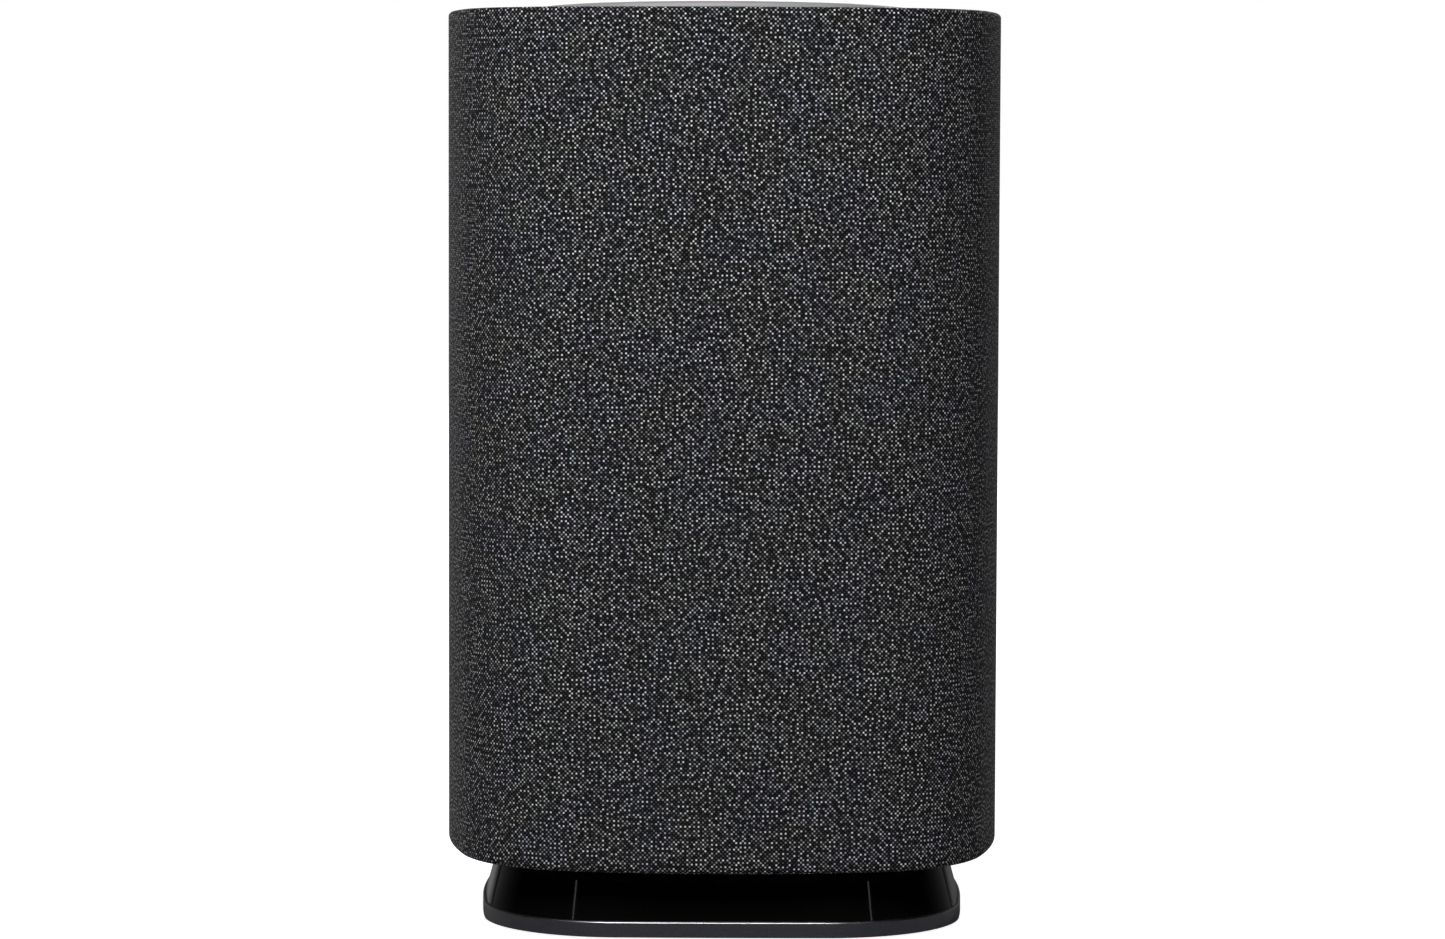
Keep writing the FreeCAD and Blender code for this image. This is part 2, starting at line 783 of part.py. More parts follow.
def make_sleeve():
    """Rigid grille sleeve under the cloth: open in rows of slots at the front and the sides."""
    low = "fabric_bottom + fabric_thick + sleeve_gap"
    tall = "(fabric_top - fabric_bottom - 2 * (fabric_thick + sleeve_gap))"
    outside = "fabric_thick + sleeve_gap"
    inside = "fabric_thick + sleeve_gap + sleeve_wall"
    sleeve = new_body("grille_sleeve")
    pad(sleeve, (outline, "body", outside), low, tall)
    soften(sleeve, "Fillet", edges_at(sleeve, number(f"{low} + {tall}")), "sleeve_edge")
    pocket(sleeve, (outline, "body", inside), f"{low} + sleeve_wall", f"{tall} - 2 * sleeve_wall")
    pocket(sleeve, (outline, "panel", "-panel_gap"), f"{low} + {tall} - sleeve_wall - overshoot",
           "sleeve_wall + 2 * overshoot")
    pocket(sleeve, (outline, "plate", "hem_inset"), f"{low} - overshoot", "sleeve_wall + 2 * overshoot")
    cut_rear_window(sleeve)
    perforate(sleeve)


def perforate(sleeve):
    """Cut one row of slots in the front and in each side, and repeat it upwards."""
    rows = 16
    pitch = 8.4
    sides = [("XZ_Plane", "slot_start", False, [-25, -8.4, 8.4, 25], "front_slot_half"),
             ("YZ_Plane", "slot_start", False, [-15, 0, 15], "side_slot_half"),
             ("YZ_Plane", "-slot_start", True, [-15, 0, 15], "side_slot_half")]
    for role, level, backwards, columns, half in sides:
        def slots(sketch):
            for column in columns:
                rectangle(sketch, f"{column} - {half}", "slot_low", f"{column} + {half}",
                          "slot_low + slot_height")
        cutter = pocket(sleeve, (slots,), level, "slot_reach", role=role, backwards=backwards)
        pattern = sleeve.newObject("PartDesign::LinearPattern", "Rows")
        pattern.Originals = [cutter]
        pattern.Direction = (cutter.Profile[0], ["V_Axis"])
        pattern.Length = pitch * (rows - 1)
        pattern.Occurrences = rows
        sleeve.Tip = pattern
        doc.recompute()


def make_fabric():
    """The cloth skin, plain and closed, turned in over the top and bottom edges of the sleeve."""
    cloth = new_body("fabric_sleeve")
    pad(cloth, (outline, "body"), "fabric_bottom", "fabric_top - fabric_bottom")
    soften(cloth, "Fillet", edges_at(cloth, DIMENSIONS["fabric_top"]), "fabric_top_edge")
    soften(cloth, "Fillet", edges_at(cloth, DIMENSIONS["fabric_bottom"]), "fabric_bottom_edge")
    pocket(cloth, (outline, "body", "fabric_thick"), "fabric_bottom + fabric_thick",
           "fabric_top - fabric_bottom - 2 * fabric_thick")
    pocket(cloth, (outline, "panel", "-panel_gap"), "fabric_top - 2 * overshoot",
           "3 * overshoot")
    pocket(cloth, (outline, "plate", "hem_inset"), "fabric_bottom - overshoot", "3 * overshoot")
    cut_rear_window(cloth)


POWER_POSTS = ("power_post_low", "power_post_high")
MAIN_POSTS = ("main_post_low", "main_post_high")


def make_cabinet():
    """Sealed inner cabinet: a tube with a flat front, two radiator seats and a rear mounting frame."""
    tall = "cabinet_top - chassis_top"
    cabinet = new_body("cabinet")
    pad(cabinet, (outline, "body", "cabinet_inset"), "chassis_top", tall)
    pocket(cabinet, (outline, "body", "cabinet_inset + cabinet_wall"), "chassis_top", tall)
    # rear mounting frame for the service panel
    frame = (rectangle, "-rear_frame_half", "chassis_top", "rear_frame_half", "rear_high + rear_frame_over")
    pad(cabinet, frame, "-rear_seat", "rear_frame_depth", role="XZ_Plane")
    opening = (rectangle, "-rear_opening_half", "rear_low + rear_opening_edge", "rear_opening_half",
               "rear_high - rear_opening_edge")
    pocket(cabinet, opening, "-window_reach", "window_reach", role="XZ_Plane", backwards=True)
    flat = (rectangle, "-rear_flat_half", "chassis_top", "rear_flat_half", "rear_high + rear_frame_over")
    pocket(cabinet, flat, "-rear_seat", "rear_flat_depth", role="XZ_Plane", backwards=True)
    # seats for the two passive radiators
    for side, backwards in ((1, False), (-1, True)):
        pad(cabinet, (circle, "0", "woofer_height", "radiator_boss"), f"{side} * radiator_boss_start",
            "radiator_boss_length", role="YZ_Plane", backwards=backwards)
        pocket(cabinet, (circle, "0", "woofer_height", "radiator_flange + radiator_gap"),
               f"{side} * radiator_seat", "clear_cut", role="YZ_Plane", backwards=backwards)
        pocket(cabinet, (circle, "0", "woofer_height", "radiator_throat"),
               f"{side} * radiator_cut_start", "clear_cut", role="YZ_Plane", backwards=backwards)
    # flat open front
    pocket(cabinet, (rectangle, "-clear_reach", "-clear_reach", "clear_reach", "-gasket_back"),
           "chassis_top - overshoot", f"{tall} + 2 * overshoot")
    # screw bosses
    for x, y in mirrored_spots("tray_screw_x", "tray_screw_y"):
        pad(cabinet, (circle, x, y, "tray_boss"), "cabinet_top - tray_boss_length", "tray_boss_length")
        pocket(cabinet, (circle, x, y, "small_screw_radius + thread_bite"),
               "cabinet_top - tray_hole_depth", "tray_hole_depth + overshoot")
    for spot_x, spot_z in baffle_spots():
        pad(cabinet, (circle, spot_x, spot_z, "baffle_boss"), "gasket_back", "baffle_boss_length",
            role="XZ_Plane", backwards=True)
        pocket(cabinet, (circle, spot_x, spot_z, "small_screw_radius + thread_bite"),
               "gasket_back + overshoot", "baffle_hole_depth", role="XZ_Plane", backwards=True)
    for x, y in rear_spots():
        pocket(cabinet, (circle, x, y, "small_screw_radius + thread_bite"), "-rear_seat - overshoot",
               "clear_cut", role="XZ_Plane")
    # posts for the two upright boards
    for spot_x in ("-post_x", "post_x"):
        for level in POWER_POSTS + MAIN_POSTS:
            pad(cabinet, (circle, spot_x, level, "board_post"), "-board_back", "board_post_length",
                role="XZ_Plane", backwards=True)


def baffle_spots():
    return [(f"{side} * baffle_screw_x", f"baffle_screw_{level}") for side in (-1, 1)
            for level in ("low", "middle", "high")]


def rear_spots():
    return [(f"{side} * (rear_half_width - rear_screw_inset_x)", level) for side in (-1, 1)
            for level in ("rear_low + rear_screw_inset_z", "rear_high - rear_screw_inset_z")]


def make_baffle():
    baffle = new_body("front_baffle")
    pad(baffle, (rounded_rectangle, "baffle_half_width", "baffle_low", "baffle_high", "baffle_corner"),
        "baffle_back", "baffle_face - baffle_back", role="XZ_Plane")
    gasket = new_body("baffle_gasket")
    pad(gasket, (rounded_rectangle, "baffle_half_width", "baffle_low", "baffle_high", "baffle_corner"),
        "gasket_back", "baffle_back - gasket_back", role="XZ_Plane")
    opening = (rounded_rectangle, "gasket_opening", "baffle_low + gasket_edge", "baffle_high - gasket_edge",
               "gasket_corner")
    pocket(gasket, opening, "gasket_back - overshoot", "through", role="XZ_Plane")
    for body, start in ((baffle, "baffle_back - overshoot"), (gasket, "gasket_back - overshoot")):
        for x, y in baffle_spots():
            pocket(body, (circle, x, y, "small_screw_radius + hole_gap"), start, "through",
                   role="XZ_Plane")
    pocket(baffle, (circle, "0", "woofer_height", "woofer_throat + frame_wall + barrel_gap"),
           "baffle_back - overshoot", "through", role="XZ_Plane")
    pocket(baffle, (circle, "0", "tweeter_height", "tweeter_barrel + barrel_gap + hole_gap"),
           "baffle_back - overshoot", "through", role="XZ_Plane")
    for radius, height, turn, count in (("woofer_screw_circle", "woofer_height", 45, 4),
                                        ("tweeter_screw_circle", "tweeter_height", 90, 3)):
        for x, y in ring_spots(radius, height, turn, count):
            pocket(baffle, (circle, x, y, "small_screw_radius + thread_bite"), "baffle_back - overshoot",
                   "through", role="XZ_Plane")
    spots = [(x, "-baffle_face", z) for x, z in baffle_spots()]
    screws("baffle_screws", spots, "y", 1, "baffle_head", "baffle_head_height", "small_screw_radius",
           "baffle_screw_length")


def ring_spots(radius, height, turn, count):
    """Equally spaced spots on a circle in an upright plane, as (across, up) formulas."""
    spots = []
    for index in range(count):
        angle = turn + 360 / count * index
        spots.append((f"({radius}) * cos({angle:g} deg)", f"({height}) + ({radius}) * sin({angle:g} deg)"))
    return spots


# ---------------------------------------------------------------- drivers

def turned(label, height, corners, role="YZ_Plane"):
    """A ring or disc turned about an upright plane's horizontal axis at one height."""
    body = new_body(label, ("0", "0", height))
    revolve(body, (polygon, corners), role)
    return body


def make_woofer():
    level = "woofer_height"
    frame = turned("woofer_frame", level, [
        ("-flange_face", "woofer_throat"), ("-flange_face", "woofer_flange"),
        ("-baffle_face", "woofer_flange"), ("-baffle_face", "woofer_throat + frame_wall"),
        ("-basket_shoulder", "woofer_throat + frame_wall"), ("-gap_plate_front", "gap_plate_radius"),
        ("-gap_plate_front", "basket_hole"), ("-basket_floor", "basket_hole"),
        ("-basket_floor", "basket_inside"), ("-basket_shoulder - basket_step", "woofer_throat")])
    vent_count = 6
    window = pocket(frame, (circle, "vent_circle", "0", "vent_radius"), "vent_start", "vent_depth",
                    role="XZ_Plane")
    spokes = frame.newObject("PartDesign::PolarPattern", "Windows")
    spokes.Originals = [window]
    spokes.Axis = (window.Profile[0], ["N_Axis"])
    spokes.Angle = 360
    spokes.Occurrences = vent_count
    frame.Tip = spokes
    doc.recompute()
    for x, y in ring_spots("woofer_screw_circle", "0", 45, 4):
        pocket(frame, (circle, x, y, "small_screw_radius + hole_gap"), "baffle_face - overshoot", "through",
               role="XZ_Plane")
    turned("woofer_top_plate", level, [
        ("-gap_plate_front", "gap_radius"), ("-gap_plate_front", "gap_plate_radius"),
        ("-gap_plate_back", "gap_plate_radius"), ("-gap_plate_back", "gap_radius")])
    turned("woofer_magnet", level, [
        ("-gap_plate_back", "magnet_hole"), ("-gap_plate_back", "magnet_radius"),
        ("-magnet_back", "magnet_radius"), ("-magnet_back", "magnet_hole")])
    turned("woofer_pole_piece", level, [
        ("-gap_plate_front", "0"), ("-gap_plate_front", "pole_radius"), ("-magnet_back", "pole_radius"),
        ("-magnet_back", "back_plate_radius"), ("-back_plate_back", "back_plate_radius"),
        ("-back_plate_back", "0")])
    turned("woofer_voice_coil", level, [
        ("-coil_front", "coil_radius - coil_wall"), ("-coil_front", "coil_radius"),
        ("-coil_back", "coil_radius"), ("-coil_back", "coil_radius - coil_wall")])
    turned("woofer_cone", level, [
        ("-coil_front", "coil_radius + coil_glue"), ("-coil_front - cone_neck", "coil_radius + coil_glue"),
        ("-cone_front", "cone_radius"), ("-cone_back", "cone_radius")])
    surround = new_body("woofer_surround", ("0", "0", level))
    revolve(surround, (arc_band, "-surround_level", "surround_circle", "surround_roll", "surround_skin",
                       90, 270), "YZ_Plane")
    cap = new_body("woofer_dust_cap", ("0", "0", level))
    cap_edge = 138
    revolve(cap, (arc_band, "-cap_centre", "0", "cap_radius", "cap_skin", cap_edge, 180), "YZ_Plane")


def make_tweeter():
    level = "tweeter_height"
    frame = turned("tweeter_frame", level, [
        ("-flange_face", "tweeter_mouth"), ("-flange_face", "tweeter_flange"),
        ("-baffle_face", "tweeter_flange"), ("-baffle_face", "tweeter_barrel"),
        ("-tweeter_back", "tweeter_barrel"), ("-tweeter_back", "tweeter_throat"),
        ("-tweeter_lip", "tweeter_throat")])
    for x, y in ring_spots("tweeter_screw_circle", "0", 90, 3):
        pocket(frame, (circle, x, y, "small_screw_radius + hole_gap"), "baffle_face - overshoot", "through",
               role="XZ_Plane")
    turned("tweeter_magnet", level, [
        ("-tweeter_back", "0"), ("-tweeter_back", "cup_radius"), ("-cup_back", "cup_radius"),
        ("-cup_back", "0")])
    dome = new_body("tweeter_dome", ("0", "0", level))
    dome_edge = 124
    revolve(dome, (arc_band, "-dome_centre", "0", "dome_radius", "dome_skin", dome_edge, 180), "YZ_Plane")
    revolve(dome, (arc_band, "-dome_roll_level", "dome_roll_circle", "dome_roll", "dome_skin", 90, 270),
            "YZ_Plane")
    spots = ring_spots("woofer_screw_circle", "woofer_height", 45, 4)
    spots += ring_spots("tweeter_screw_circle", level, 90, 3)
    screws("driver_screws", [(x, "-flange_face", z) for x, z in spots], "y", 1, "driver_head",
           "driver_head_height", "small_screw_radius", "driver_screw_length")


def make_radiators():
    """Two passive radiators: a clamped frame, and a rubber surround moulded round a weighted plate."""
    pieces = []
    for name, side in (("left", -1), ("right", 1)):
        face = f"{side} * radiator_face"
        frame = new_body(f"{name}_radiator_frame", ("0", "0", "woofer_height"))
        revolve(frame, (rectangle, f"{side} * radiator_seat", "radiator_throat", face, "radiator_flange"),
                "XZ_Plane")
        for x, y in ring_spots("radiator_screw_circle", "0", 45, 4):
            pocket(frame, (circle, x, y, "radiator_screw_hole"), f"{side} * (radiator_seat - overshoot)",
                   "through", role="YZ_Plane", backwards=side < 0)
        start = -90 * side
        radiator = new_body(f"{name}_radiator", ("0", "0", "woofer_height"))
        revolve(radiator, (arc_band, f"{side} * (radiator_face - radiator_roll_drop)", "radiator_roll_circle",
                           "radiator_roll", "radiator_skin", start, start + 180), "XZ_Plane")
        plate_face = f"{side} * (radiator_face - radiator_plate_drop)"
        plate_back = f"{side} * (radiator_face - radiator_plate_drop - radiator_plate_thick)"
        revolve(radiator, (rectangle, plate_back, "0", plate_face, "radiator_plate"), "XZ_Plane")
        spots = [(face, y, z) for y, z in ring_spots("radiator_screw_circle", "woofer_height", 45, 4)]
        pieces += screw_pieces(f"{name}_radiator_screws", spots, "x", -side, "radiator_head",
                               "radiator_head_height", "radiator_screw", "radiator_screw_length")
    group("radiator_screws", pieces)


# ---------------------------------------------------------------- top controls

KEYS = (("play_key", "0", "0", "play_radius"),
        ("volume_down_key", "-volume_offset", "0", "volume_radius"),
        ("volume_up_key", "volume_offset", "0", "volume_radius"),
        ("mic_mute_key", "0", "mute_offset", "mute_radius"))
MIC_SPOTS = mirrored_spots("mic_x", "mic_y")


def crown(sketch):
    """Outline of what lies above the panel's gently arched top."""
    radius = number("crown_radius")
    reach = number("crown_reach")
    centre = Vector(0, number("panel_top - crown_radius"), 0)
    half_turn = math.asin(reach / radius)
    ring = Part.Circle(centre, Vector(0, 0, 1), radius)
    arc = sketch.addGeometry(Part.ArcOfCircle(ring, math.pi / 2 - half_turn, math.pi / 2 + half_turn))
    right = sketch.getPoint(arc, 1)
    left = sketch.getPoint(arc, 2)
    ceiling = number("panel_top + overshoot")
    corners = [right, Vector(reach, ceiling, 0), Vector(-reach, ceiling, 0), left]
    lines = [sketch.addGeometry(Part.LineSegment(a, b)) for a, b in zip(corners, corners[1:])]
    joints = [(arc, 1, lines[0], 1), (lines[0], 2, lines[1], 1), (lines[1], 2, lines[2], 1),
              (lines[2], 2, arc, 2)]
    for joint in joints:
        sketch.addConstraint(Sketcher.Constraint("Coincident", *joint))
    for line, direction in zip(lines, ("Vertical", "Horizontal", "Vertical")):
        sketch.addConstraint(Sketcher.Constraint(direction, line))
    fix(sketch, "DistanceX", arc, 3, value="0")
    fix(sketch, "DistanceY", arc, 3, value="panel_top - crown_radius")
    fix(sketch, "Radius", arc, value="crown_radius")
    fix(sketch, "DistanceX", lines[0], 2, value="crown_reach")
    fix(sketch, "DistanceX", lines[2], 1, value="-crown_reach")
    fix(sketch, "DistanceY", lines[0], 2, value="panel_top + overshoot")


def make_top():
    tray = new_body("top_tray")
    pad(tray, (outline, "body", "frame_inset"), "cabinet_top", "tray_top - cabinet_top")
    pad(tray, (outline, "panel", "tray_lip_gap"), "tray_top", "panel_seat - tray_top")
    pocket(tray, (outline, "panel", "panel_wall + tray_lip_gap"), "tray_top",
           "panel_seat - tray_top + overshoot")
    for x, y in mirrored_spots("key_post_x", "key_post_y"):
        pad(tray, (circle, x, y, "key_post"), "tray_top", "board_under_keys - tray_top")
    for x, y in mirrored_spots("tray_screw_x", "tray_screw_y"):
        pocket(tray, (circle, x, y, "small_screw_radius + hole_gap"), "cabinet_top - overshoot", "through")
    spots = [(x, y, "tray_top") for x, y in mirrored_spots("tray_screw_x", "tray_screw_y")]
    screws("tray_screws", spots, "z", -1, "tray_head", "tray_head_height", "small_screw_radius",
           "tray_screw_length")

    panel = new_body("top_panel")
    pad(panel, (outline, "panel"), "panel_seat", "panel_top - panel_seat")
    pocket(panel, (crown,), "-crown_reach", "2 * crown_reach", role="XZ_Plane")
    soften(panel, "Fillet", edges_above(panel, number("panel_seat + panel_wall")), "panel_edge")
    pocket(panel, (outline, "panel", "panel_wall"), "panel_seat", "panel_top - panel_seat - panel_wall")
    for name, x, y, radius in KEYS:
        pocket(panel, (circle, x, y, f"{radius} + key_gap"), "panel_seat", "clear_cut")
    pocket(panel, (circle, "0", "-light_offset", "light_radius + hole_gap / 2"), "panel_seat", "clear_cut")
    for x, y in MIC_SPOTS:
        pocket(panel, (circle, x, y, "mic_hole"), "panel_seat", "clear_cut")

    board = new_body("key_board")
    pad(board, (outline, "panel", "panel_wall + key_board_gap"), "board_under_keys", "key_board_thick")
    light = new_body("status_light")
    pad(light, (circle, "0", "-light_offset", "light_radius"), "board_under_keys + key_board_thick",
        "panel_top - board_under_keys - key_board_thick")

    for name, x, y, radius in KEYS:
        key = new_body(name, (x, y, "0"))
        pad(key, (circle, "0", "0", radius), "key_bottom", "panel_top - key_drop - key_bottom")
        pad(key, (circle, "0", "0", f"{radius} + key_flange"), "key_bottom", "key_flange")
        soften(key, "Chamfer", edges_at(key, number("panel_top - key_drop")), "key_edge")

    domes = []
    for name, x, y, radius in KEYS:
        can = box(f"{name}_can", f"{x} - switch_half", f"{y} - switch_half",
                  "board_under_keys + key_board_thick", "2 * switch_half", "2 * switch_half",
                  "switch_height", final=False)
        stem = rod(f"{name}_stem", (x, y, "board_under_keys + key_board_thick + switch_height"),
                   "stem_radius", "stem_height", final=False)
        domes.append(fused(f"{name}_switch", [can, stem], final=False))
    group("key_switches", domes)
    cans = [box(f"mic_can_{index}", f"{x} - mic_half_length", f"{y} - mic_half_width",
                "board_under_keys + key_board_thick", "2 * mic_half_length", "2 * mic_half_width",
                "switch_height", final=False) for index, (x, y) in enumerate(MIC_SPOTS)]
    group("microphones", cans)


# ---------------------------------------------------------------- electronics

def board_with_holes(label, low, high, posts):
    board = new_body(label)
    pad(board, (rounded_rectangle, "board_half_width", low, high, "board_corner"), "-board_back",
        "board_back - board_front", role="XZ_Plane")
    for side in (-1, 1):
        for level in posts:
            pocket(board, (circle, f"{side} * post_x", level, "board_hole"), "-board_back - overshoot",
                   "through", role="XZ_Plane")


def make_electronics():
    board_with_holes("power_supply_board", "power_board_low", "power_board_high", POWER_POSTS)
    board_with_holes("main_board", "main_board_low", "main_board_high", MAIN_POSTS)
    spots = [(f"{side} * post_x", "board_front", level) for side in (-1, 1)
             for level in POWER_POSTS + MAIN_POSTS]
    screws("board_screws", spots, "y", 1, "board_head", "board_head_height", "board_screw",
           "board_screw_length")
    core = box("core_block", "-core_left", "core_front", "core_low", "core_width", "core_size",
               "core_size", final=False)
    winding_spot = ("core_width / 2 - core_left", "core_front - winding_length",
                    "core_low + core_size / 2")
    winding = rod("winding", winding_spot, "winding_radius", "winding_length", "y", final=False)
    fused("power_transformer", [core, winding])
    group("smoothing_capacitors", [
        rod(label, (label, "core_front", "capacitor_level"), "capacitor_radius", "core_size", "y",
            final=False) for label in ("capacitor_near", "capacitor_far")])
    # chips on the main board, as (name, left, low, width, height)
    chips = (("processor_shield", "-9", "108", "18", "22"), ("radio_shield", "-27", "124", "14", "14"),
             ("codec_chip", "15", "124", "9", "9"))
    cans = [box(f"{name}_can", x, "board_front - can_height", z, wide, "can_height", high, final=False)
            for name, x, z, wide, high in chips]
    group("shield_cans", cans)

    amplifier = new_body("amplifier_board")
    pad(amplifier, (rounded_rectangle, "amplifier_half_width", "amplifier_low", "amplifier_high",
                    "amplifier_corner"), "-amplifier_face", "amplifier_thick", role="XZ_Plane")
    spacers = [rod(f"spacer_{index}", (f"{side} * spacer_offset", "amplifier_face",
                                       "(amplifier_low + amplifier_high) / 2"),
                   "spacer_radius", "board_front - amplifier_face", "y", final=False)
               for index, side in enumerate((-1, 1))]
    group("board_spacers", spacers)
    plate = box("sink_plate", "-sink_half_width", "sink_plate_front", "sink_low", "2 * sink_half_width",
                "sink_plate_thick", "sink_height", final=False)
    fin_count = 9
    fins = [box(f"fin_{index}", f"{index} * fin_pitch - sink_half_width", "sink_plate_front - fin_depth",
                "sink_low", "fin_thick", "fin_depth", "sink_height", final=False)
            for index in range(fin_count)]
    fused("heat_sink", [plate] + fins)

    antennas = [box(f"antenna_{index}", spot, "-antenna_half_width", "antenna_low", "antenna_thick",
                    "2 * antenna_half_width", "antenna_height", final=False)
                for index, spot in enumerate(("antenna_inside", "-antenna_inside - antenna_thick"))]
    group("antennas", antennas)
    wadding = new_body("acoustic_wadding")
    pad(wadding, (rounded_rectangle, "wadding_half_width", "-wadding_front", "wadding_back",
                  "wadding_corner"), "cabinet_top - wadding_thick", "wadding_thick")


# ---------------------------------------------------------------- rear panel

def figure_eight(sketch, height):
    """Outline of a two-pin inlet: a slot with round ends."""
    half = number("inlet_slot_half")
    radius = number("inlet_slot_radius")
    middle = number(height)
    first = sketch.GeometryCount
    for side, start in ((1, -90), (-1, 90)):
        ring = Part.Circle(Vector(side * half, middle, 0), Vector(0, 0, 1), radius)
        sketch.addGeometry(Part.ArcOfCircle(ring, math.radians(start), math.radians(start + 180)))
    for begin, end in ((0, 1), (1, 0)):
        line = sketch.addGeometry(Part.LineSegment(sketch.getPoint(first + begin, 2),
                                                   sketch.getPoint(first + end, 1)))
        sketch.addConstraint(Sketcher.Constraint("Tangent", first + begin, 2, line, 1))
        sketch.addConstraint(Sketcher.Constraint("Tangent", line, 2, first + end, 1))
    sketch.addConstraint(Sketcher.Constraint("Equal", first, first + 1))
    fix(sketch, "Radius", first, value="inlet_slot_radius")
    for index, side in ((0, 1), (1, -1)):
        fix(sketch, "DistanceX", first + index, 3, value=f"{side} * inlet_slot_half")
    fix(sketch, "DistanceY", first, 3, value=height)


def centred(half_width, half_height, middle, gap="0"):
    """The four limits of a rectangle about one height, grown by gap."""
    return (f"-{half_width} - {gap}", f"{middle} - {half_height} - {gap}",
            f"{half_width} + {gap}", f"{middle} + {half_height} + {gap}")


def make_rear():
    start = "-rear_face - overshoot"
    panel = new_body("rear_panel")
    pad(panel, (rounded_rectangle, "rear_half_width", "rear_low", "rear_high", "rear_corner"),
        "-rear_face", "rear_face - rear_seat", role="XZ_Plane")
    _, low, half, high = centred("inlet_half_width", "inlet_half_height", "inlet_height", "hole_gap")
    pocket(panel, (rounded_rectangle, half, low, high, "inlet_corner + hole_gap"), start, "through",
           role="XZ_Plane")
    opening = centred("network_half_width", "network_half_height", "network_height", "hole_gap")
    pocket(panel, (rectangle, *opening), start, "through", role="XZ_Plane")
    pocket(panel, (circle, "pairing_offset", "network_height", "pairing_radius + key_gap"), start,
           "through", role="XZ_Plane")
    for x, y in rear_spots():
        pocket(panel, (circle, x, y, "small_screw_radius + hole_gap"), start, "through", role="XZ_Plane")
        pocket(panel, (circle, x, y, "rear_head + hole_gap"), start, "rear_head_pocket + overshoot",
               role="XZ_Plane")
    spots = [(x, "rear_face - rear_head_pocket", z) for x, z in rear_spots()]
    screws("rear_panel_screws", spots, "y", -1, "rear_head", "rear_head_height", "small_screw_radius",
           "rear_screw_length")

    inlet = new_body("power_inlet")
    _, low, half, high = centred("inlet_half_width", "inlet_half_height", "inlet_height")
    pad(inlet, (rounded_rectangle, half, low, high, "inlet_corner"), "-rear_face", "inlet_depth",
        role="XZ_Plane")
    pocket(inlet, (figure_eight, "inlet_height"), start, "inlet_cut", role="XZ_Plane")
    pins = [rod(f"inlet_pin_{index}", (f"{side} * pin_offset", "rear_face - pin_root", "inlet_height"),
                "pin_radius", "pin_length", "y", final=False) for index, side in enumerate((-1, 1))]
    group("inlet_pins", pins)

    socket = new_body("network_socket")
    pad(socket, (rectangle, *centred("network_half_width", "network_half_height", "network_height")),
        "-rear_face", "network_depth", role="XZ_Plane")
    pocket(socket, (rectangle, "-network_opening_half", "network_height - network_opening_low",
                    "network_opening_half", "network_height + network_opening_high"), start,
           "network_cut", role="XZ_Plane")
    pocket(socket, (rectangle, "-latch_half", "network_height - latch_low", "latch_half",
                    "network_height - latch_high"), start, "latch_cut", role="XZ_Plane")
    contact_count = 8
    contacts = [box(f"contact_{index}", f"contact_pitch * {index - (contact_count - 1) / 2}"
                    " - contact_width / 2", "rear_face - contact_root",
                    "network_height + contact_level", "contact_width", "contact_length",
                    "contact_height", final=False) for index in range(contact_count)]
    group("network_contacts", contacts)

    button = new_body("pairing_button", ("pairing_offset", "0", "network_height"))
    pad(button, (circle, "0", "0", "pairing_radius"), "-rear_face - pairing_proud", "pairing_length",
        role="XZ_Plane")
    pad(button, (circle, "0", "0", "pairing_radius + pairing_flange"), "-rear_seat + pairing_proud",
        "pairing_flange_length", role="XZ_Plane")


# ---------------------------------------------------------------- wiring

def lead_path(points):
    """Straight runs joined by tangent arcs, as wide as the runs beside them allow."""
    spots = [Vector(*point) for point in points]
    edges = []
    start = spots[0]
    for before, here, after in zip(spots, spots[1:], spots[2:]):
        inward = (before - here).normalize()
        outward = (after - here).normalize()
        half_turn = (math.pi - inward.getAngle(outward)) / 2
        setback = 0.45 * min((before - here).Length, (after - here).Length)
        radius = setback / math.tan(half_turn)
        begin = here + inward * setback
        end = here + outward * setback
        middle_way = (inward + outward).normalize()
        middle = here + middle_way * (radius / math.cos(half_turn) - radius)
        edges.append(Part.LineSegment(start, begin).toShape())
        edges.append(Part.Arc(begin, middle, end).toShape())
        start = end
    edges.append(Part.LineSegment(start, spots[-1]).toShape())
    return Part.Wire(edges)


def lead_solids(points, radius, beside, count):
    """Insulated wires that run side by side inside the cabinet."""
    solids = []
    for index in range(count):
        shift = beside * (index - (count - 1) / 2)
        path = lead_path([Vector(*point) + shift for point in points])
        first = path.Edges[0]
        heading = first.tangentAt(first.FirstParameter)
        ring = Part.Wire(Part.Circle(path.Vertexes[0].Point, heading, radius).toShape())
        tube = path.makePipeShell([ring], True, False)
        expected = math.pi * radius ** 2 * path.Length
        if abs(tube.Volume / expected - 1) > 0.01:
            raise RuntimeError(f"lead: volume {tube.Volume:.2f}, expected {expected:.2f}")
        solids.append(tube)
    return solids


def loose_feature(label, solids):
    thing = doc.addObject("Part::Feature", label)
    thing.Shape = Part.makeCompound(solids)
    thing.Placement = FreeCAD.Placement()
    return keep(thing, label)


def make_wiring():
    woofer_route = [(0, 18.8, 92), (0, 18.8, 86), (0, 8, 84), (0, -2, 89.4), (0, -19.4, 89.4)]
    tweeter_route = [(10, 18.8, 104), (10, 18.8, 111), (8, 6, 114), (6, -6, 120), (3, -14, 127),
                     (3, -21, 127)]
    side = Vector(2.2, 0, 0)
    leads = lead_solids(woofer_route, 0.8, side, 2) + lead_solids(tweeter_route, 0.7, side, 2)
    loose_feature("speaker_leads", leads)
    key_route = [(0, 25.3, 152), (0, 24.4, 154), (0, 24.4, 158)]
    loose_feature("key_cable", lead_solids(key_route, 0.5, Vector(1.1, 0, 0), 4))


# ---------------------------------------------------------------- build and write

for make in (make_base, make_chassis, make_sleeve, make_fabric, make_cabinet, make_baffle, make_woofer,
             make_tweeter, make_radiators, make_top, make_electronics, make_rear, make_wiring):
    make()
doc.recompute()

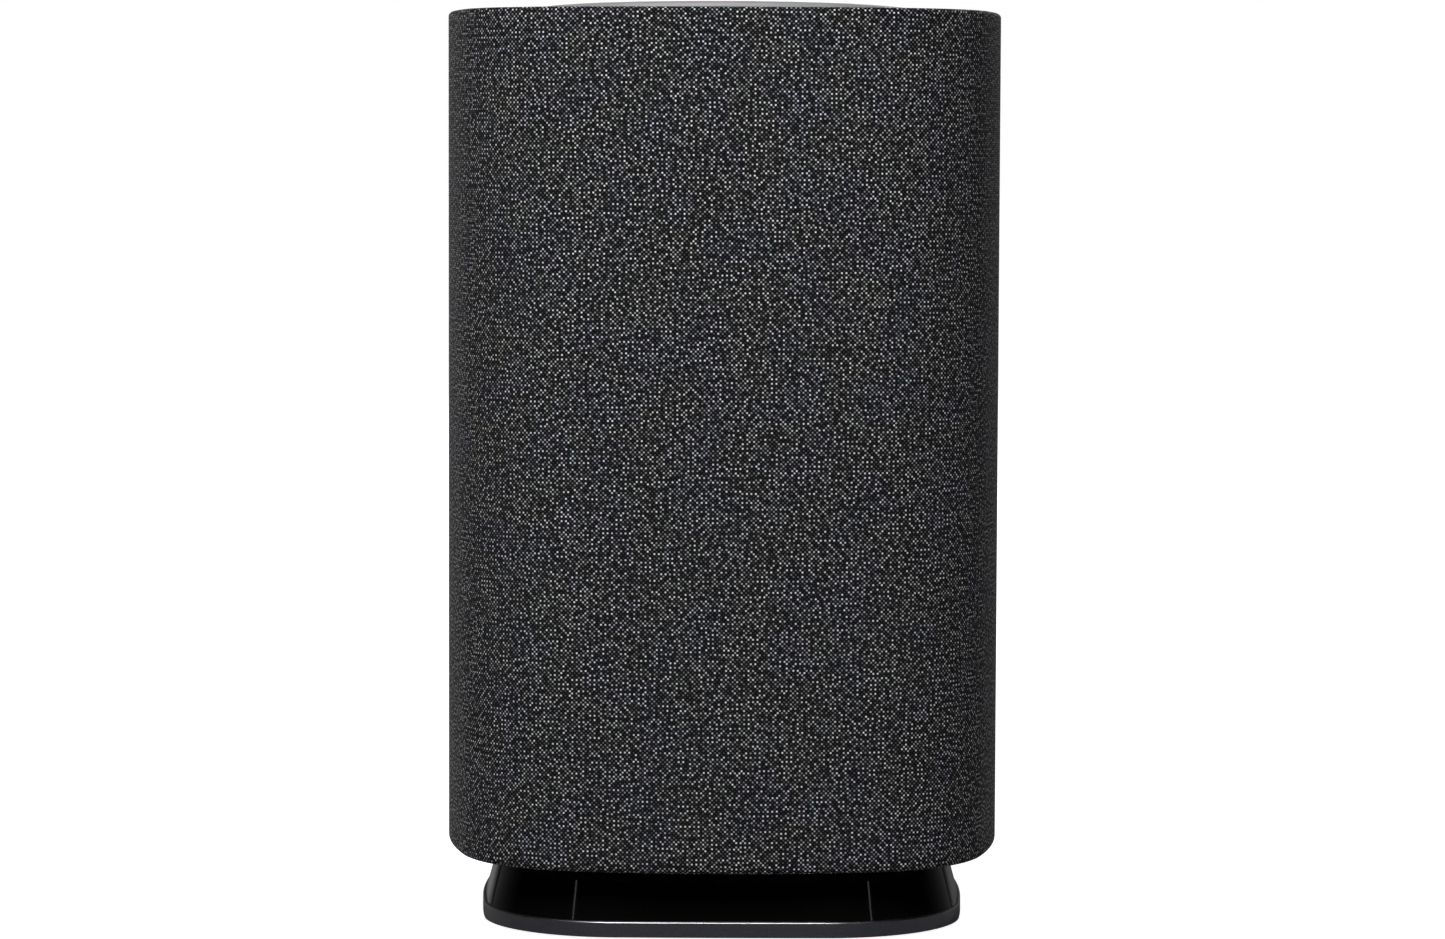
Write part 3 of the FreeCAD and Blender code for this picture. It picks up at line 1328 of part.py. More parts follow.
for thing in doc.Objects:
    faults = [state for state in thing.State if state in ("Invalid", "Error")]
    if faults:
        raise RuntimeError(f"{thing.Label}: {faults}")
for node in NODES:
    if node.Shape.isNull() or not node.Shape.isValid() or not node.Shape.Solids:
        raise RuntimeError(f"{node.Label}: no valid solid")

os.makedirs("parts", exist_ok=True)
for node in NODES:
    node.Shape.exportStep(f"parts/{node.Label}.step")
    print(f"{node.Label}: {node.Shape.Volume:.1f} mm3")
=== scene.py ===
import math

import bmesh
import bpy
from mathutils import Matrix, Vector
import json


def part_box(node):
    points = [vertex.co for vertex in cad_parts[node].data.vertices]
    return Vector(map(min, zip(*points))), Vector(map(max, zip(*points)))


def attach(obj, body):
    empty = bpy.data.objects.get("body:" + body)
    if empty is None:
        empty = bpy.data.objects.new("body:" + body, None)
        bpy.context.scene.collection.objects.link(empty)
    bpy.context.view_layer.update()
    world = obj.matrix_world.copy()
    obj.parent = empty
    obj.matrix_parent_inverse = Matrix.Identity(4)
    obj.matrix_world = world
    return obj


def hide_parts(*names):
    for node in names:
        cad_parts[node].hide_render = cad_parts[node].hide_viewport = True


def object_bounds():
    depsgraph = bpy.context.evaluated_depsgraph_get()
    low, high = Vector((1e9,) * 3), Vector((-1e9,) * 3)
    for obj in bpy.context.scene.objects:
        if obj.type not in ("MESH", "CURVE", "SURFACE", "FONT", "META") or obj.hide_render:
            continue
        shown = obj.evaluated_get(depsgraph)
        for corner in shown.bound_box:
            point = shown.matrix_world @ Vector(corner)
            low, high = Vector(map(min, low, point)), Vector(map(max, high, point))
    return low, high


# The looks of a fabric-covered smart speaker. Metres, +Z up, the front faces -Y.

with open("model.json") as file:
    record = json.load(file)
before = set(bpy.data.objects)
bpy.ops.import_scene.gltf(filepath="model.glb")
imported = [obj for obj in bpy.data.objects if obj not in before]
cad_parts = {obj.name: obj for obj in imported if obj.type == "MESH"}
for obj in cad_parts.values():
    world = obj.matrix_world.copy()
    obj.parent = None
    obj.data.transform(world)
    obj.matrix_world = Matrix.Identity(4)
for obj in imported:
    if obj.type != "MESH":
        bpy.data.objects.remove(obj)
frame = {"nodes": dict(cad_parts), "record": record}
cad_low, cad_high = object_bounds()

MM = 0.001
HOUSING = "housing"


# ---------------------------------------------------------------- camera

CAMERA_SIDE = -0.00013
CAMERA_DISTANCE = 0.884
CAMERA_HEIGHT = 0.1448
CAMERA_PITCH = 0.0696
CAMERA_ROLL = 0.0036
CAMERA_LENS = 116.11


def make_camera():
    camera = bpy.data.objects.new("camera", bpy.data.cameras.new("camera"))
    camera.data.sensor_width = 36
    camera.data.lens = CAMERA_LENS
    camera.data.clip_start = 0.01
    camera.data.clip_end = 50
    turn = Matrix.Rotation(math.pi / 2 - CAMERA_PITCH, 4, "X") @ Matrix.Rotation(CAMERA_ROLL, 4, "Z")
    camera.matrix_world = Matrix.Translation((CAMERA_SIDE, -CAMERA_DISTANCE, CAMERA_HEIGHT)) @ turn
    bpy.context.scene.collection.objects.link(camera)
    bpy.context.scene.camera = camera


make_camera()
bpy.context.scene.view_settings.view_transform = "Standard"


# ---------------------------------------------------------------- material nodes

class Graph:
    """Short calls for building one material out of nodes."""

    def __init__(self, name):
        self.material = bpy.data.materials.new(name)
        self.material.use_nodes = True
        self.tree = self.material.node_tree
        self.shader = self.tree.nodes["Principled BSDF"]

    def feed(self, socket, value):
        if isinstance(value, bpy.types.NodeSocket):
            self.tree.links.new(value, socket)
        else:
            socket.default_value = value

    def node(self, kind, inputs=None, **settings):
        made = self.tree.nodes.new(kind)
        for key, value in settings.items():
            setattr(made, key, value)
        for key, value in (inputs or {}).items():
            self.feed(made.inputs[key], value)
        return made

    def maths(self, operation, *values):
        made = self.node("ShaderNodeMath", operation=operation)
        for socket, value in zip(made.inputs, values):
            self.feed(socket, value)
        return made.outputs[0]

    def vector(self, x, y, z=0.0):
        return self.node("ShaderNodeCombineXYZ", {"X": x, "Y": y, "Z": z}).outputs[0]

    def place(self, scale=(1, 1, 1)):
        """Object coordinates in metres, stretched by scale."""
        spot = self.node("ShaderNodeTexCoord").outputs["Object"]
        return self.node("ShaderNodeMapping", {"Vector": spot, "Scale": scale}).outputs[0]

    def noise(self, where, scale, detail=2.0, roughness=0.5):
        made = self.node("ShaderNodeTexNoise", {"Vector": where, "Scale": scale, "Detail": detail,
                                                "Roughness": roughness})
        return made.outputs["Fac"]

    def spread(self, value, low, high, to_low=0.0, to_high=1.0):
        """Map a value from one range to another, held at its ends."""
        made = self.node("ShaderNodeMapRange", {"Value": value, "From Min": low, "From Max": high,
                                                "To Min": to_low, "To Max": to_high})
        return made.outputs[0]

    def blend(self, amount, first, second):
        made = self.node("ShaderNodeMix", data_type="RGBA")
        self.feed(made.inputs[0], amount)
        self.feed(made.inputs[6], first)
        self.feed(made.inputs[7], second)
        return made.outputs[2]

    def bump(self, height, distance, strength=1.0):
        made = self.node("ShaderNodeBump", {"Height": height, "Distance": distance, "Strength": strength})
        self.feed(self.shader.inputs["Normal"], made.outputs[0])

    def finish(self, color, roughness, **sockets):
        """Set the shader's own sockets; keyword names use _ for a space."""
        self.feed(self.shader.inputs["Base Color"], color)
        self.feed(self.shader.inputs["Roughness"], roughness)
        for name, value in sockets.items():
            self.feed(self.shader.inputs[name.replace("_", " ")], value)
        return self.material


def rgb(level, tint=(1, 1, 1)):
    return (level * tint[0], level * tint[1], level * tint[2], 1)


def mottled(graph, color, where, scale, amount):
    """A colour with slow patches a little lighter and darker."""
    patch = graph.spread(graph.noise(where, scale), 0.3, 0.7)
    dark = tuple(channel * (1 - amount) for channel in color[:3]) + (1,)
    light = tuple(channel * (1 + amount) for channel in color[:3]) + (1,)
    return graph.blend(patch, dark, light)


def moulded_plastic(name, color, roughness=0.55, grain=4000, depth=0.00002):
    """Moulded plastic with a fine spark-eroded grain."""
    graph = Graph(name)
    where = graph.place()
    grains = graph.noise(where, grain, 3)
    graph.bump(grains, depth, 0.6)
    rough = graph.spread(graph.noise(where, 60), 0.3, 0.7, roughness - 0.06, roughness + 0.06)
    return graph.finish(mottled(graph, color, where, 45, 0.08), rough, Specular_IOR_Level=0.4)


def gloss_plastic(name, color):
    """Polished plastic: nearly mirror smooth, with the faintest waviness and a few fine hairlines."""
    graph = Graph(name)
    where = graph.place()
    graph.bump(graph.noise(where, 90, 1), 0.000004, 0.4)
    hairlines = graph.noise(graph.place((900, 900, 9000)), 1, 2)
    rough = graph.spread(hairlines, 0.35, 0.75, 0.05, 0.09)
    return graph.finish(mottled(graph, color, where, 30, 0.1), rough, Specular_IOR_Level=0.22)


def rubber(name, color):
    graph = Graph(name)
    where = graph.place()
    graph.bump(graph.noise(where, 2600, 4), 0.00003, 0.7)
    rough = graph.spread(graph.noise(where, 120), 0.3, 0.7, 0.78, 0.92)
    return graph.finish(mottled(graph, color, where, 80, 0.2), rough, Specular_IOR_Level=0.25)


def brushed_metal(name, color, roughness, stretch, depth=0.000004):
    """Metal brushed along the two axes that stretch leaves small."""
    graph = Graph(name)
    lines = graph.noise(graph.place(stretch), 1, 4, 0.6)
    graph.bump(lines, depth, 0.6)
    rough = graph.spread(lines, 0.3, 0.7, roughness - 0.08, roughness + 0.1)
    tone = graph.spread(lines, 0.3, 0.7)
    dark = tuple(channel * 0.86 for channel in color[:3]) + (1,)
    light = tuple(channel * 1.12 for channel in color[:3]) + (1,)
    return graph.finish(graph.blend(tone, dark, light), rough, Metallic=1.0)


def metal_with_highlight_edge(name, color, highlight_edge_color, edge_height):
    """Dark bead-blasted metal that turns lighter and smoother above one height, so the lamp's reflection along the
    top edge shows brighter: a real reflection with a painted highlight added.
    """
    graph = Graph(name)
    where = graph.place()
    height = graph.node("ShaderNodeSeparateXYZ", {"Vector": where}).outputs[2]
    # The band above edge_height gets the lighter highlight colour: painted highlight that brightens the reflection
    # on the top edge.
    highlight_band = graph.maths("GREATER_THAN", height, edge_height)
    grain = graph.noise(where, 3500, 3)
    graph.bump(grain, 0.000006, 0.5)
    dark = tuple(channel * 0.88 for channel in color[:3]) + (1,)
    light = tuple(channel * 1.12 for channel in color[:3]) + (1,)
    skin = graph.blend(graph.spread(grain, 0.3, 0.7), dark, light)
    rough = graph.maths("MULTIPLY_ADD", highlight_band, -0.1, graph.spread(grain, 0.3, 0.7, 0.36, 0.44))
    return graph.finish(graph.blend(highlight_band, skin, highlight_edge_color), rough, Metallic=1.0)


def satin_paint(name, color, roughness=0.5):
    """Metallic-looking paint: fine flakes under a satin lacquer."""
    graph = Graph(name)
    where = graph.place()
    flakes = graph.noise(where, 6500, 2)
    graph.bump(flakes, 0.000006, 0.5)
    tone = graph.spread(flakes, 0.35, 0.65)
    dark = tuple(channel * 0.93 for channel in color[:3]) + (1,)
    light = tuple(min(1, channel * 1.07) for channel in color[:3]) + (1,)
    rough = graph.spread(graph.noise(where, 70), 0.3, 0.7, roughness - 0.04, roughness + 0.05)
    return graph.finish(graph.blend(tone, dark, light), rough, Metallic=0.1,
                        Specular_IOR_Level=0.35)


def circuit_board(name, color):
    """Solder mask over copper tracks, which show as slightly lighter straight lines."""
    graph = Graph(name)
    where = graph.place()
    bricks = graph.node("ShaderNodeTexBrick", {"Vector": graph.place((1, 1, 1)), "Scale": 260, "Mortar Size": 0.06,
                                               "Color1": rgb(0.0), "Color2": rgb(0.25), "Mortar": rgb(1.0)})
    tracks = bricks.outputs["Fac"]
    light = tuple(min(1, channel * 1.9) for channel in color[:3]) + (1,)
    graph.bump(tracks, 0.00003, 0.5)
    rough = graph.spread(graph.noise(where, 300), 0.3, 0.7, 0.3, 0.42)
    return graph.finish(graph.blend(tracks, color, light), rough)


def fibrous(name, color, scale=900):
    """Soft fibres or pulp: crossed stretched noises."""
    graph = Graph(name)
    one = graph.noise(graph.place((1, 6, 1)), scale, 5, 0.65)
    two = graph.noise(graph.place((6, 1, 2)), scale, 5, 0.65)
    both = graph.maths("MULTIPLY", one, two)
    graph.bump(both, 0.0002, 0.8)
    dark = tuple(channel * 0.6 for channel in color[:3]) + (1,)
    return graph.finish(graph.blend(graph.spread(both, 0.15, 0.4), dark, color), 0.95, Sheen_Weight=0.2)


def wound_wire(name, color):
    """Turns of enamelled wire or tape lying side by side."""
    graph = Graph(name)
    turns = graph.node("ShaderNodeTexWave", {"Vector": graph.place(), "Scale": 700, "Distortion": 0.4,
                                             "Detail": 1.0}, bands_direction="Y").outputs["Fac"]
    graph.bump(turns, 0.00008, 0.9)
    # Each turn darkens to half its colour towards the grooves between turns: painted shade.
    dark = tuple(channel * 0.5 for channel in color[:3]) + (1,)
    return graph.finish(graph.blend(turns, dark, color), 0.35, Metallic=0.6)


def light_pipe(name):
    graph = Graph(name)
    where = graph.place()
    graph.bump(graph.noise(where, 3000), 0.00001, 0.4)
    color = mottled(graph, rgb(0.55, (0.95, 1, 1.02)), where, 800, 0.08)
    return graph.finish(color, 0.28, Transmission_Weight=0.35, IOR=1.49)


THREAD = 0.405 * MM


def woven_cloth(name):
    """Plain weave of near-black warp and grey melange weft, one cell to each crossing.

    The weave UV map is in metres along the warp and weft, so the thread pitch is real.
    """
    graph = Graph(name)
    spot = graph.node("ShaderNodeUVMap", uv_map="weave").outputs[0]
    parts = graph.node("ShaderNodeSeparateXYZ", {"Vector": spot})
    drift = graph.noise(spot, 70, 1)
    across = graph.maths("MULTIPLY_ADD", parts.outputs[0], 1 / THREAD, drift)
    along = graph.maths("MULTIPLY_ADD", parts.outputs[1], 1 / THREAD, drift)
    column = graph.maths("FLOOR", across)
    row = graph.maths("FLOOR", along)
    weft_over = graph.maths("FLOORED_MODULO", graph.maths("ADD", column, row), 2.0)
    warp_over = graph.maths("SUBTRACT", 1.0, weft_over)
    arch_across = graph.maths("SINE", graph.maths("MULTIPLY", graph.maths("FRACT", across), math.pi))
    arch_along = graph.maths("SINE", graph.maths("MULTIPLY", graph.maths("FRACT", along), math.pi))
    crown_and_painted_shade = graph.maths("MULTIPLY", arch_across, arch_along)

    # Every crossing has its own brightness, unlike its neighbours', and every yarn its slubs
    def chance(sideways, upwards):
        cell = graph.vector(graph.maths("ADD", column, sideways), graph.maths("ADD", row, upwards))
        return graph.node("ShaderNodeTexWhiteNoise", {"Vector": cell}, noise_dimensions="2D").outputs["Value"]

    around = graph.maths("ADD", graph.maths("ADD", chance(1.0, 1.0), chance(-1.0, -1.0)),
                         graph.maths("ADD", chance(1.0, -1.0), chance(-1.0, 1.0)))
    own = graph.maths("MULTIPLY_ADD", around, -0.16, graph.maths("MULTIPLY_ADD", chance(0.0, 0.0), 0.95, 0.36))
    slub = graph.noise(graph.vector(graph.maths("MULTIPLY", across, 0.16), graph.maths("MULTIPLY", row, 7.3)), 1, 2)
    patch = graph.noise(graph.vector(across, along), 0.13, 3, 0.6)
    lively = graph.maths("MULTIPLY", graph.maths("POWER", graph.maths("MAXIMUM", own, 0.0), 2.6),
                         graph.spread(slub, 0.35, 0.7, 0.65, 1.35))
    lively = graph.maths("MULTIPLY", lively, graph.spread(patch, 0.35, 0.68, 0.8, 1.25))
    yarn = graph.maths("MINIMUM", graph.maths("MULTIPLY_ADD", lively, 1.0, 0.03), 0.95)
    # Both yarns' colours are multiplied by the crossing's crown, so they fade to black towards its edges: painted
    # shade where the threads dip under each other, which leaves a bright round spot on each crown.
    weft = graph.maths("MULTIPLY", weft_over, graph.maths("MULTIPLY", graph.maths("POWER", crown_and_painted_shade, 1.0), yarn))
    warp = graph.maths("MULTIPLY", warp_over, graph.maths("MULTIPLY", crown_and_painted_shade, 0.006))
    tone = graph.maths("ADD", graph.maths("ADD", weft, warp), 0.001)

    hue = graph.noise(graph.vector(across, along), 0.045, 2)
    tint = graph.blend(graph.spread(hue, 0.38, 0.62), (0.955, 0.95, 1.08, 1), (1.01, 1.0, 0.99, 1))
    color = graph.node("ShaderNodeVectorMath", {0: tint, "Scale": tone}, operation="SCALE").outputs[0]
    rise = graph.maths("MULTIPLY", crown_and_painted_shade, graph.maths("MULTIPLY_ADD", weft_over, 0.5, 0.5))
    graph.bump(rise, 0.12 * MM, 0.12)
    return graph.finish(color, 0.9, Specular_IOR_Level=0.03, Sheen_Weight=0.05, Sheen_Roughness=0.35)


SLOT_MATERIALS = {
    "rubber": rubber("rubber", rgb(0.022)),
    # rgb(0.25) is the plate's top-edge colour, a painted highlight on the edge's reflection.
    "gunmetal": metal_with_highlight_edge("gunmetal", rgb(0.105, (1, 1, 1.16)), rgb(0.25), 3.08 * MM),
    "gloss_black": gloss_plastic("gloss_black", rgb(0.0025)),
    "screw_steel": brushed_metal("screw_steel", rgb(0.2), 0.38, (2500, 2500, 2500)),
    "brass": brushed_metal("brass", rgb(0.72, (1, 0.74, 0.38)), 0.32, (300, 300, 5000)),
    "black_plastic": moulded_plastic("black_plastic", rgb(0.03)),
    "sleeve_plastic": moulded_plastic("sleeve_plastic", rgb(0.012), 0.7),
    "foam": rubber("foam", rgb(0.06)),
    "frame_steel": moulded_plastic("frame_steel", rgb(0.045), 0.42, 1500),
    "plated_steel": brushed_metal("plated_steel", rgb(0.62, (1, 0.99, 0.96)), 0.34, (400, 400, 400)),
    "ferrite": moulded_plastic("ferrite", rgb(0.06, (1, 0.98, 0.96)), 0.62, 900, 0.00006),
    "copper": wound_wire("copper", rgb(0.75, (1, 0.5, 0.3))),
    "cone_paper": fibrous("cone_paper", rgb(0.05)),
    "silk": fibrous("silk", rgb(0.035), 2400),
    "panel_grey": satin_paint("panel_grey", rgb(0.25, (1, 1, 1.02))),
    "key_grey": satin_paint("key_grey", rgb(0.24, (1, 1, 1.02)), 0.42),
    "board_green": circuit_board("board_green", rgb(0.10, (0.25, 1, 0.5))),
    "light_clear": light_pipe("light_clear"),
    "switch_black": moulded_plastic("switch_black", rgb(0.05), 0.5),
    "transformer": wound_wire("transformer", rgb(0.5, (1, 0.82, 0.22))),
    "capacitor_sleeve": moulded_plastic("capacitor_sleeve", rgb(0.05, (0.7, 0.8, 1.4)), 0.3, 300),
    "aluminium": brushed_metal("aluminium", rgb(0.72), 0.34, (60, 60, 3000)),
    "wadding": fibrous("wadding", rgb(0.7, (1, 1, 0.96))),
    "rear_plastic": moulded_plastic("rear_plastic", rgb(0.022), 0.5, 3200),
    "pin_nickel": brushed_metal("pin_nickel", rgb(0.72, (1, 0.98, 0.93)), 0.2, (3000, 200, 3000)),
    "contact_gold": brushed_metal("contact_gold", rgb(0.85, (1, 0.76, 0.3)), 0.25, (2000, 200, 2000)),
    "button_black": moulded_plastic("button_black", rgb(0.035), 0.4, 5000),
    "wire": rubber("wire", rgb(0.06)),
    "cloth": woven_cloth("cloth"),
}

for part in frame["record"]["subparts"]:
    mesh = frame["nodes"][part["node"]].data
    mesh.materials.clear()
    mesh.materials.append(SLOT_MATERIALS[part["material_slot"]])


# ---------------------------------------------------------------- plan outlines

def plan(half_width, half_depth, front_radius, side_radius, corner_radius, inset=0.0, count=320):
    """Points at even steps round an eight-arc outline, from the middle of the back and anticlockwise from above.

    The front and back arcs are centred on the Y axis, the side arcs on the X axis, and each corner arc is
    tangent to the long arcs beside it. inset moves the outline inwards all round.
    """
    front_centre = front_radius - half_depth
    side_centre = side_radius - half_width
    reach = math.hypot(front_centre, side_centre)
    far = front_radius - corner_radius
    near = side_radius - corner_radius
    along = (far ** 2 - near ** 2 + reach ** 2) / (2 * reach)
    across = math.sqrt(max(0.0, far ** 2 - along ** 2))
    corner_x = abs((front_centre * across - side_centre * along) / reach)
    corner_y = abs(front_centre - (front_centre * along + side_centre * across) / reach)
    back_turn = math.atan2(corner_y + front_centre, corner_x)
    side_turn = math.atan2(corner_y, corner_x + side_centre)
    # one quarter, from the middle of the back to the middle of the left side, as (centre, radius, start, end)
    arcs = [((0, -front_centre), front_radius - inset, math.pi / 2, math.pi - back_turn),
            ((-corner_x, corner_y), corner_radius - inset, math.pi - back_turn, math.pi - side_turn),
            ((side_centre, 0), side_radius - inset, math.pi - side_turn, math.pi)]
    lengths = [radius * (end - start) for centre, radius, start, end in arcs]
    quarter = sum(lengths)
    steps = count // 4
    points = []
    for step in range(steps):
        left = quarter * step / steps
        for ((x, y), radius, start, end), length in zip(arcs, lengths):
            if left <= length:
                turn = start + left / radius
                points.append(Vector((x + radius * math.cos(turn), y + radius * math.sin(turn))))
                break
            left -= length
    side_point = Vector((-(half_width - inset), 0))
    lower = [Vector((p.x, -p.y)) for p in reversed(points[1:])]
    left_half = points + [side_point] + lower
    front_point = Vector((0, -(half_depth - inset)))
    right_half = [Vector((-p.x, p.y)) for p in reversed(left_half[1:])]
    return left_half + [front_point] + right_half, 4 * quarter


cloth_low, cloth_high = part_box("fabric_sleeve")
panel_low, panel_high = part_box("top_panel")
plate_low, plate_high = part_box("base_plate")
BODY_PLAN = dict(half_width=52 * MM, half_depth=49 * MM, front_radius=139 * MM, side_radius=102 * MM,
                 corner_radius=26.7 * MM)
PANEL_PLAN = dict(half_width=35.5 * MM, half_depth=33.5 * MM, front_radius=90 * MM, side_radius=80 * MM,
                  corner_radius=21 * MM)
PLATE_PLAN = dict(half_width=45.4 * MM, half_depth=42.4 * MM, front_radius=1.0, side_radius=190 * MM,
                  corner_radius=25.6 * MM)


# ---------------------------------------------------------------- meshes

def add_object(name, mesh, material, body=HOUSING):
    piece = bpy.data.objects.new(name, mesh)
    bpy.context.scene.collection.objects.link(piece)
    mesh.materials.append(material)
    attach(piece, body)
    return piece


def apply_modifiers(piece):
    """Replace a piece's mesh by what its modifiers make of it."""
    graph = bpy.context.evaluated_depsgraph_get()
    mesh = bpy.data.meshes.new_from_object(piece.evaluated_get(graph))
    piece.modifiers.clear()
    piece.data = mesh


def smooth(mesh):
    for face in mesh.polygons:
        face.use_smooth = True


def ring_mesh(name, rings, uv_of=None, closed=False):
    """Quads between rings of equal count; uv_of(ring, column, point) gives the weave map in metres."""
    mesh = bpy.data.meshes.new(name)
    shape = bmesh.new()
    rows = [[shape.verts.new(point) for point in ring] for ring in rings]
    layer = shape.loops.layers.uv.new("weave") if uv_of else None
    count = len(rows[0])
    spans = len(rows) if closed else len(rows) - 1
    for index in range(spans):
        upper = rows[index]
        lower = rows[(index + 1) % len(rows)]
        for column in range(count):
            after = (column + 1) % count
            face = shape.faces.new((upper[column], lower[column], lower[after], upper[after]))
            if layer:
                corners = ((index, column), (index + 1, column), (index + 1, column + 1), (index, column + 1))
                for loop, (ring, at) in zip(face.loops, corners):
                    loop[layer].uv = uv_of(index, ring, at, loop.vert.co)
    shape.normal_update()
    shape.to_mesh(mesh)
    shape.free()
    smooth(mesh)
    return mesh


# ---------------------------------------------------------------- cloth sleeve

CLOTH_THICK = 0.55 * MM
TOP_ROUND = 0.8 * MM
BOTTOM_ROUND = 1.2 * MM
HEM_ROUND = 0.35 * MM
PANEL_GAP = 0.42 * MM
SKIRT_GAP = 2.3 * MM
SIDE_ROWS = 60
ROUND_STEPS = 6
FLAT_ROWS = 8


def cloth_rings():
    """Rings of the cloth's outer face from the panel's edge, over the top, down the side and in under the bottom.

    Each ring is (points, kind), where kind says which way the weave is laid out there.
    """
    top = cloth_high.z
    bottom = cloth_low.z
    panel_edge, _ = plan(**PANEL_PLAN, inset=-PANEL_GAP)
    panel_turn, _ = plan(**PANEL_PLAN, inset=-PANEL_GAP - HEM_ROUND)
    skirt_edge, _ = plan(**PLATE_PLAN, inset=SKIRT_GAP)
    body_top, _ = plan(**BODY_PLAN, inset=TOP_ROUND)
    body_bottom, _ = plan(**BODY_PLAN, inset=BOTTOM_ROUND)
    rings = [([p.to_3d() + Vector((0, 0, top - 2 * HEM_ROUND)) for p in panel_edge], "top")]
    for step in range(1, 4):
        angle = math.pi / 2 * step / 3
        share = 1 - math.cos(angle)
        rise = top - HEM_ROUND + HEM_ROUND * math.sin(angle)
        rings.append(([a.lerp(b, share).to_3d() + Vector((0, 0, rise)) for a, b in zip(panel_edge, panel_turn)],
                      "top"))
    for step in range(1, FLAT_ROWS + 1):
        share = step / FLAT_ROWS
        rings.append(([a.lerp(b, share).to_3d() + Vector((0, 0, top)) for a, b in zip(panel_turn, body_top)], "top"))
    for step in range(1, ROUND_STEPS + 1):
        angle = math.pi / 2 * (1 - step / ROUND_STEPS)
        level = top - TOP_ROUND * (1 - math.sin(angle))
        points, _ = plan(**BODY_PLAN, inset=TOP_ROUND * (1 - math.cos(angle)))
        rings.append(([p.to_3d() + Vector((0, 0, level)) for p in points], "side"))
    edge, perimeter = plan(**BODY_PLAN)
    side_top = top - TOP_ROUND
    side_bottom = bottom + BOTTOM_ROUND
    for step in range(1, SIDE_ROWS + 1):
        level = side_top + (side_bottom - side_top) * step / SIDE_ROWS
        rings.append(([p.to_3d() + Vector((0, 0, level)) for p in edge], "side"))
    for step in range(1, ROUND_STEPS + 1):
        angle = math.pi / 2 * step / ROUND_STEPS
        level = bottom + BOTTOM_ROUND * (1 - math.sin(angle))
        points, _ = plan(**BODY_PLAN, inset=BOTTOM_ROUND * (1 - math.cos(angle)))
        rings.append(([p.to_3d() + Vector((0, 0, level)) for p in points], "side"))
    for step in range(1, FLAT_ROWS + 1):
        share = step / FLAT_ROWS
        rings.append(([a.lerp(b, share).to_3d() + Vector((0, 0, bottom)) for a, b in zip(body_bottom, skirt_edge)],
                      "bottom"))
    return rings, perimeter


def rear_window_cutter():
    """A prism with round corners, through the back wall only, where the service panel sits."""
    low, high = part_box("rear_panel")
    gap = 0.3 * MM
    radius = 6 * MM + gap
    half = (high.x - low.x) / 2 + gap
    middle = (low.z + high.z) / 2
    tall = (high.z - low.z) / 2 + gap
    shape = bmesh.new()
    outline = []
    for index, (side, end) in enumerate(((1, 1), (-1, 1), (-1, -1), (1, -1))):
        for step in range(7):
            angle = math.pi / 2 * (index + step / 6)
            outline.append((side * (half - radius) + radius * math.cos(angle),
                            middle + end * (tall - radius) + radius * math.sin(angle)))
    near = [shape.verts.new((x, 30 * MM, z)) for x, z in outline]
    far = [shape.verts.new((x, 60 * MM, z)) for x, z in outline]
    shape.faces.new(near)
    shape.faces.new(list(reversed(far)))
    for index in range(len(near)):
        after = (index + 1) % len(near)
        shape.faces.new((near[after], near[index], far[index], far[after]))
    bmesh.ops.recalc_face_normals(shape, faces=shape.faces)
    mesh = bpy.data.meshes.new("cutter")
    shape.to_mesh(mesh)
    shape.free()
    cutter = bpy.data.objects.new("cutter", mesh)
    bpy.context.scene.collection.objects.link(cutter)
    return cutter


def make_cloth():
    rings, perimeter = cloth_rings()
    step = perimeter / len(rings[0][0])
    travel = [0.0]
    for (before, _), (here, _) in zip(rings, rings[1:]):
        front = len(here) // 2
        travel.append(travel[-1] + (here[front] - before[front]).length)

    def weave(index, ring, column, point):
        if rings[min(index + 1, len(rings) - 1)][1] == "side":
            return column * step, -travel[ring]
        return point.x, point.y

    mesh = ring_mesh("cloth_sleeve", [points for points, _ in rings], weave)
    cloth = add_object("cloth_sleeve", mesh, SLOT_MATERIALS["cloth"])
    shell = cloth.modifiers.new("shell", "SOLIDIFY")
    shell.thickness = CLOTH_THICK
    shell.offset = -1
    apply_modifiers(cloth)
    cutter = rear_window_cutter()
    window = cloth.modifiers.new("window", "BOOLEAN")
    window.operation = "DIFFERENCE"
    window.solver = "EXACT"
    window.object = cutter
    apply_modifiers(cloth)
    bpy.data.objects.remove(cutter)
    smooth(cloth.data)
    cloth.data.set_sharp_from_angle(angle=math.radians(50))
    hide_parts("fabric_sleeve")
    return cloth


make_cloth()


# ---------------------------------------------------------------- signs on the keys

SIGN_HIGH = 0.03 * MM


def sign_material():
    graph = Graph("sign_print")
    where = graph.place()
    graph.bump(graph.noise(where, 5000), 0.000004, 0.5)
    return graph.finish(mottled(graph, rgb(0.045), where, 400, 0.15), 0.55)


SIGN = sign_material()


def flat_sign(name, key, outlines):
    """Printed shapes on a key's top; each outline is a list of (x, y) in millimetres about the key's middle."""
    low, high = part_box(key)
    middle = (low + high) / 2
    shape = bmesh.new()
    for outline in outlines:
        base = [shape.verts.new((middle.x + x * MM, middle.y + y * MM, high.z)) for x, y in outline]
        face = shape.faces.new(base)
        face.normal_update()
        if face.normal.z < 0:
            face.normal_flip()
        lifted = bmesh.ops.extrude_face_region(shape, geom=[face])
        top = [item for item in lifted["geom"] if isinstance(item, bmesh.types.BMVert)]
        bmesh.ops.translate(shape, verts=top, vec=(0, 0, SIGN_HIGH))
    bmesh.ops.recalc_face_normals(shape, faces=shape.faces)
    mesh = bpy.data.meshes.new(name)
    shape.to_mesh(mesh)
    shape.free()
    return add_object(name, mesh, SIGN, key.removesuffix("_key"))


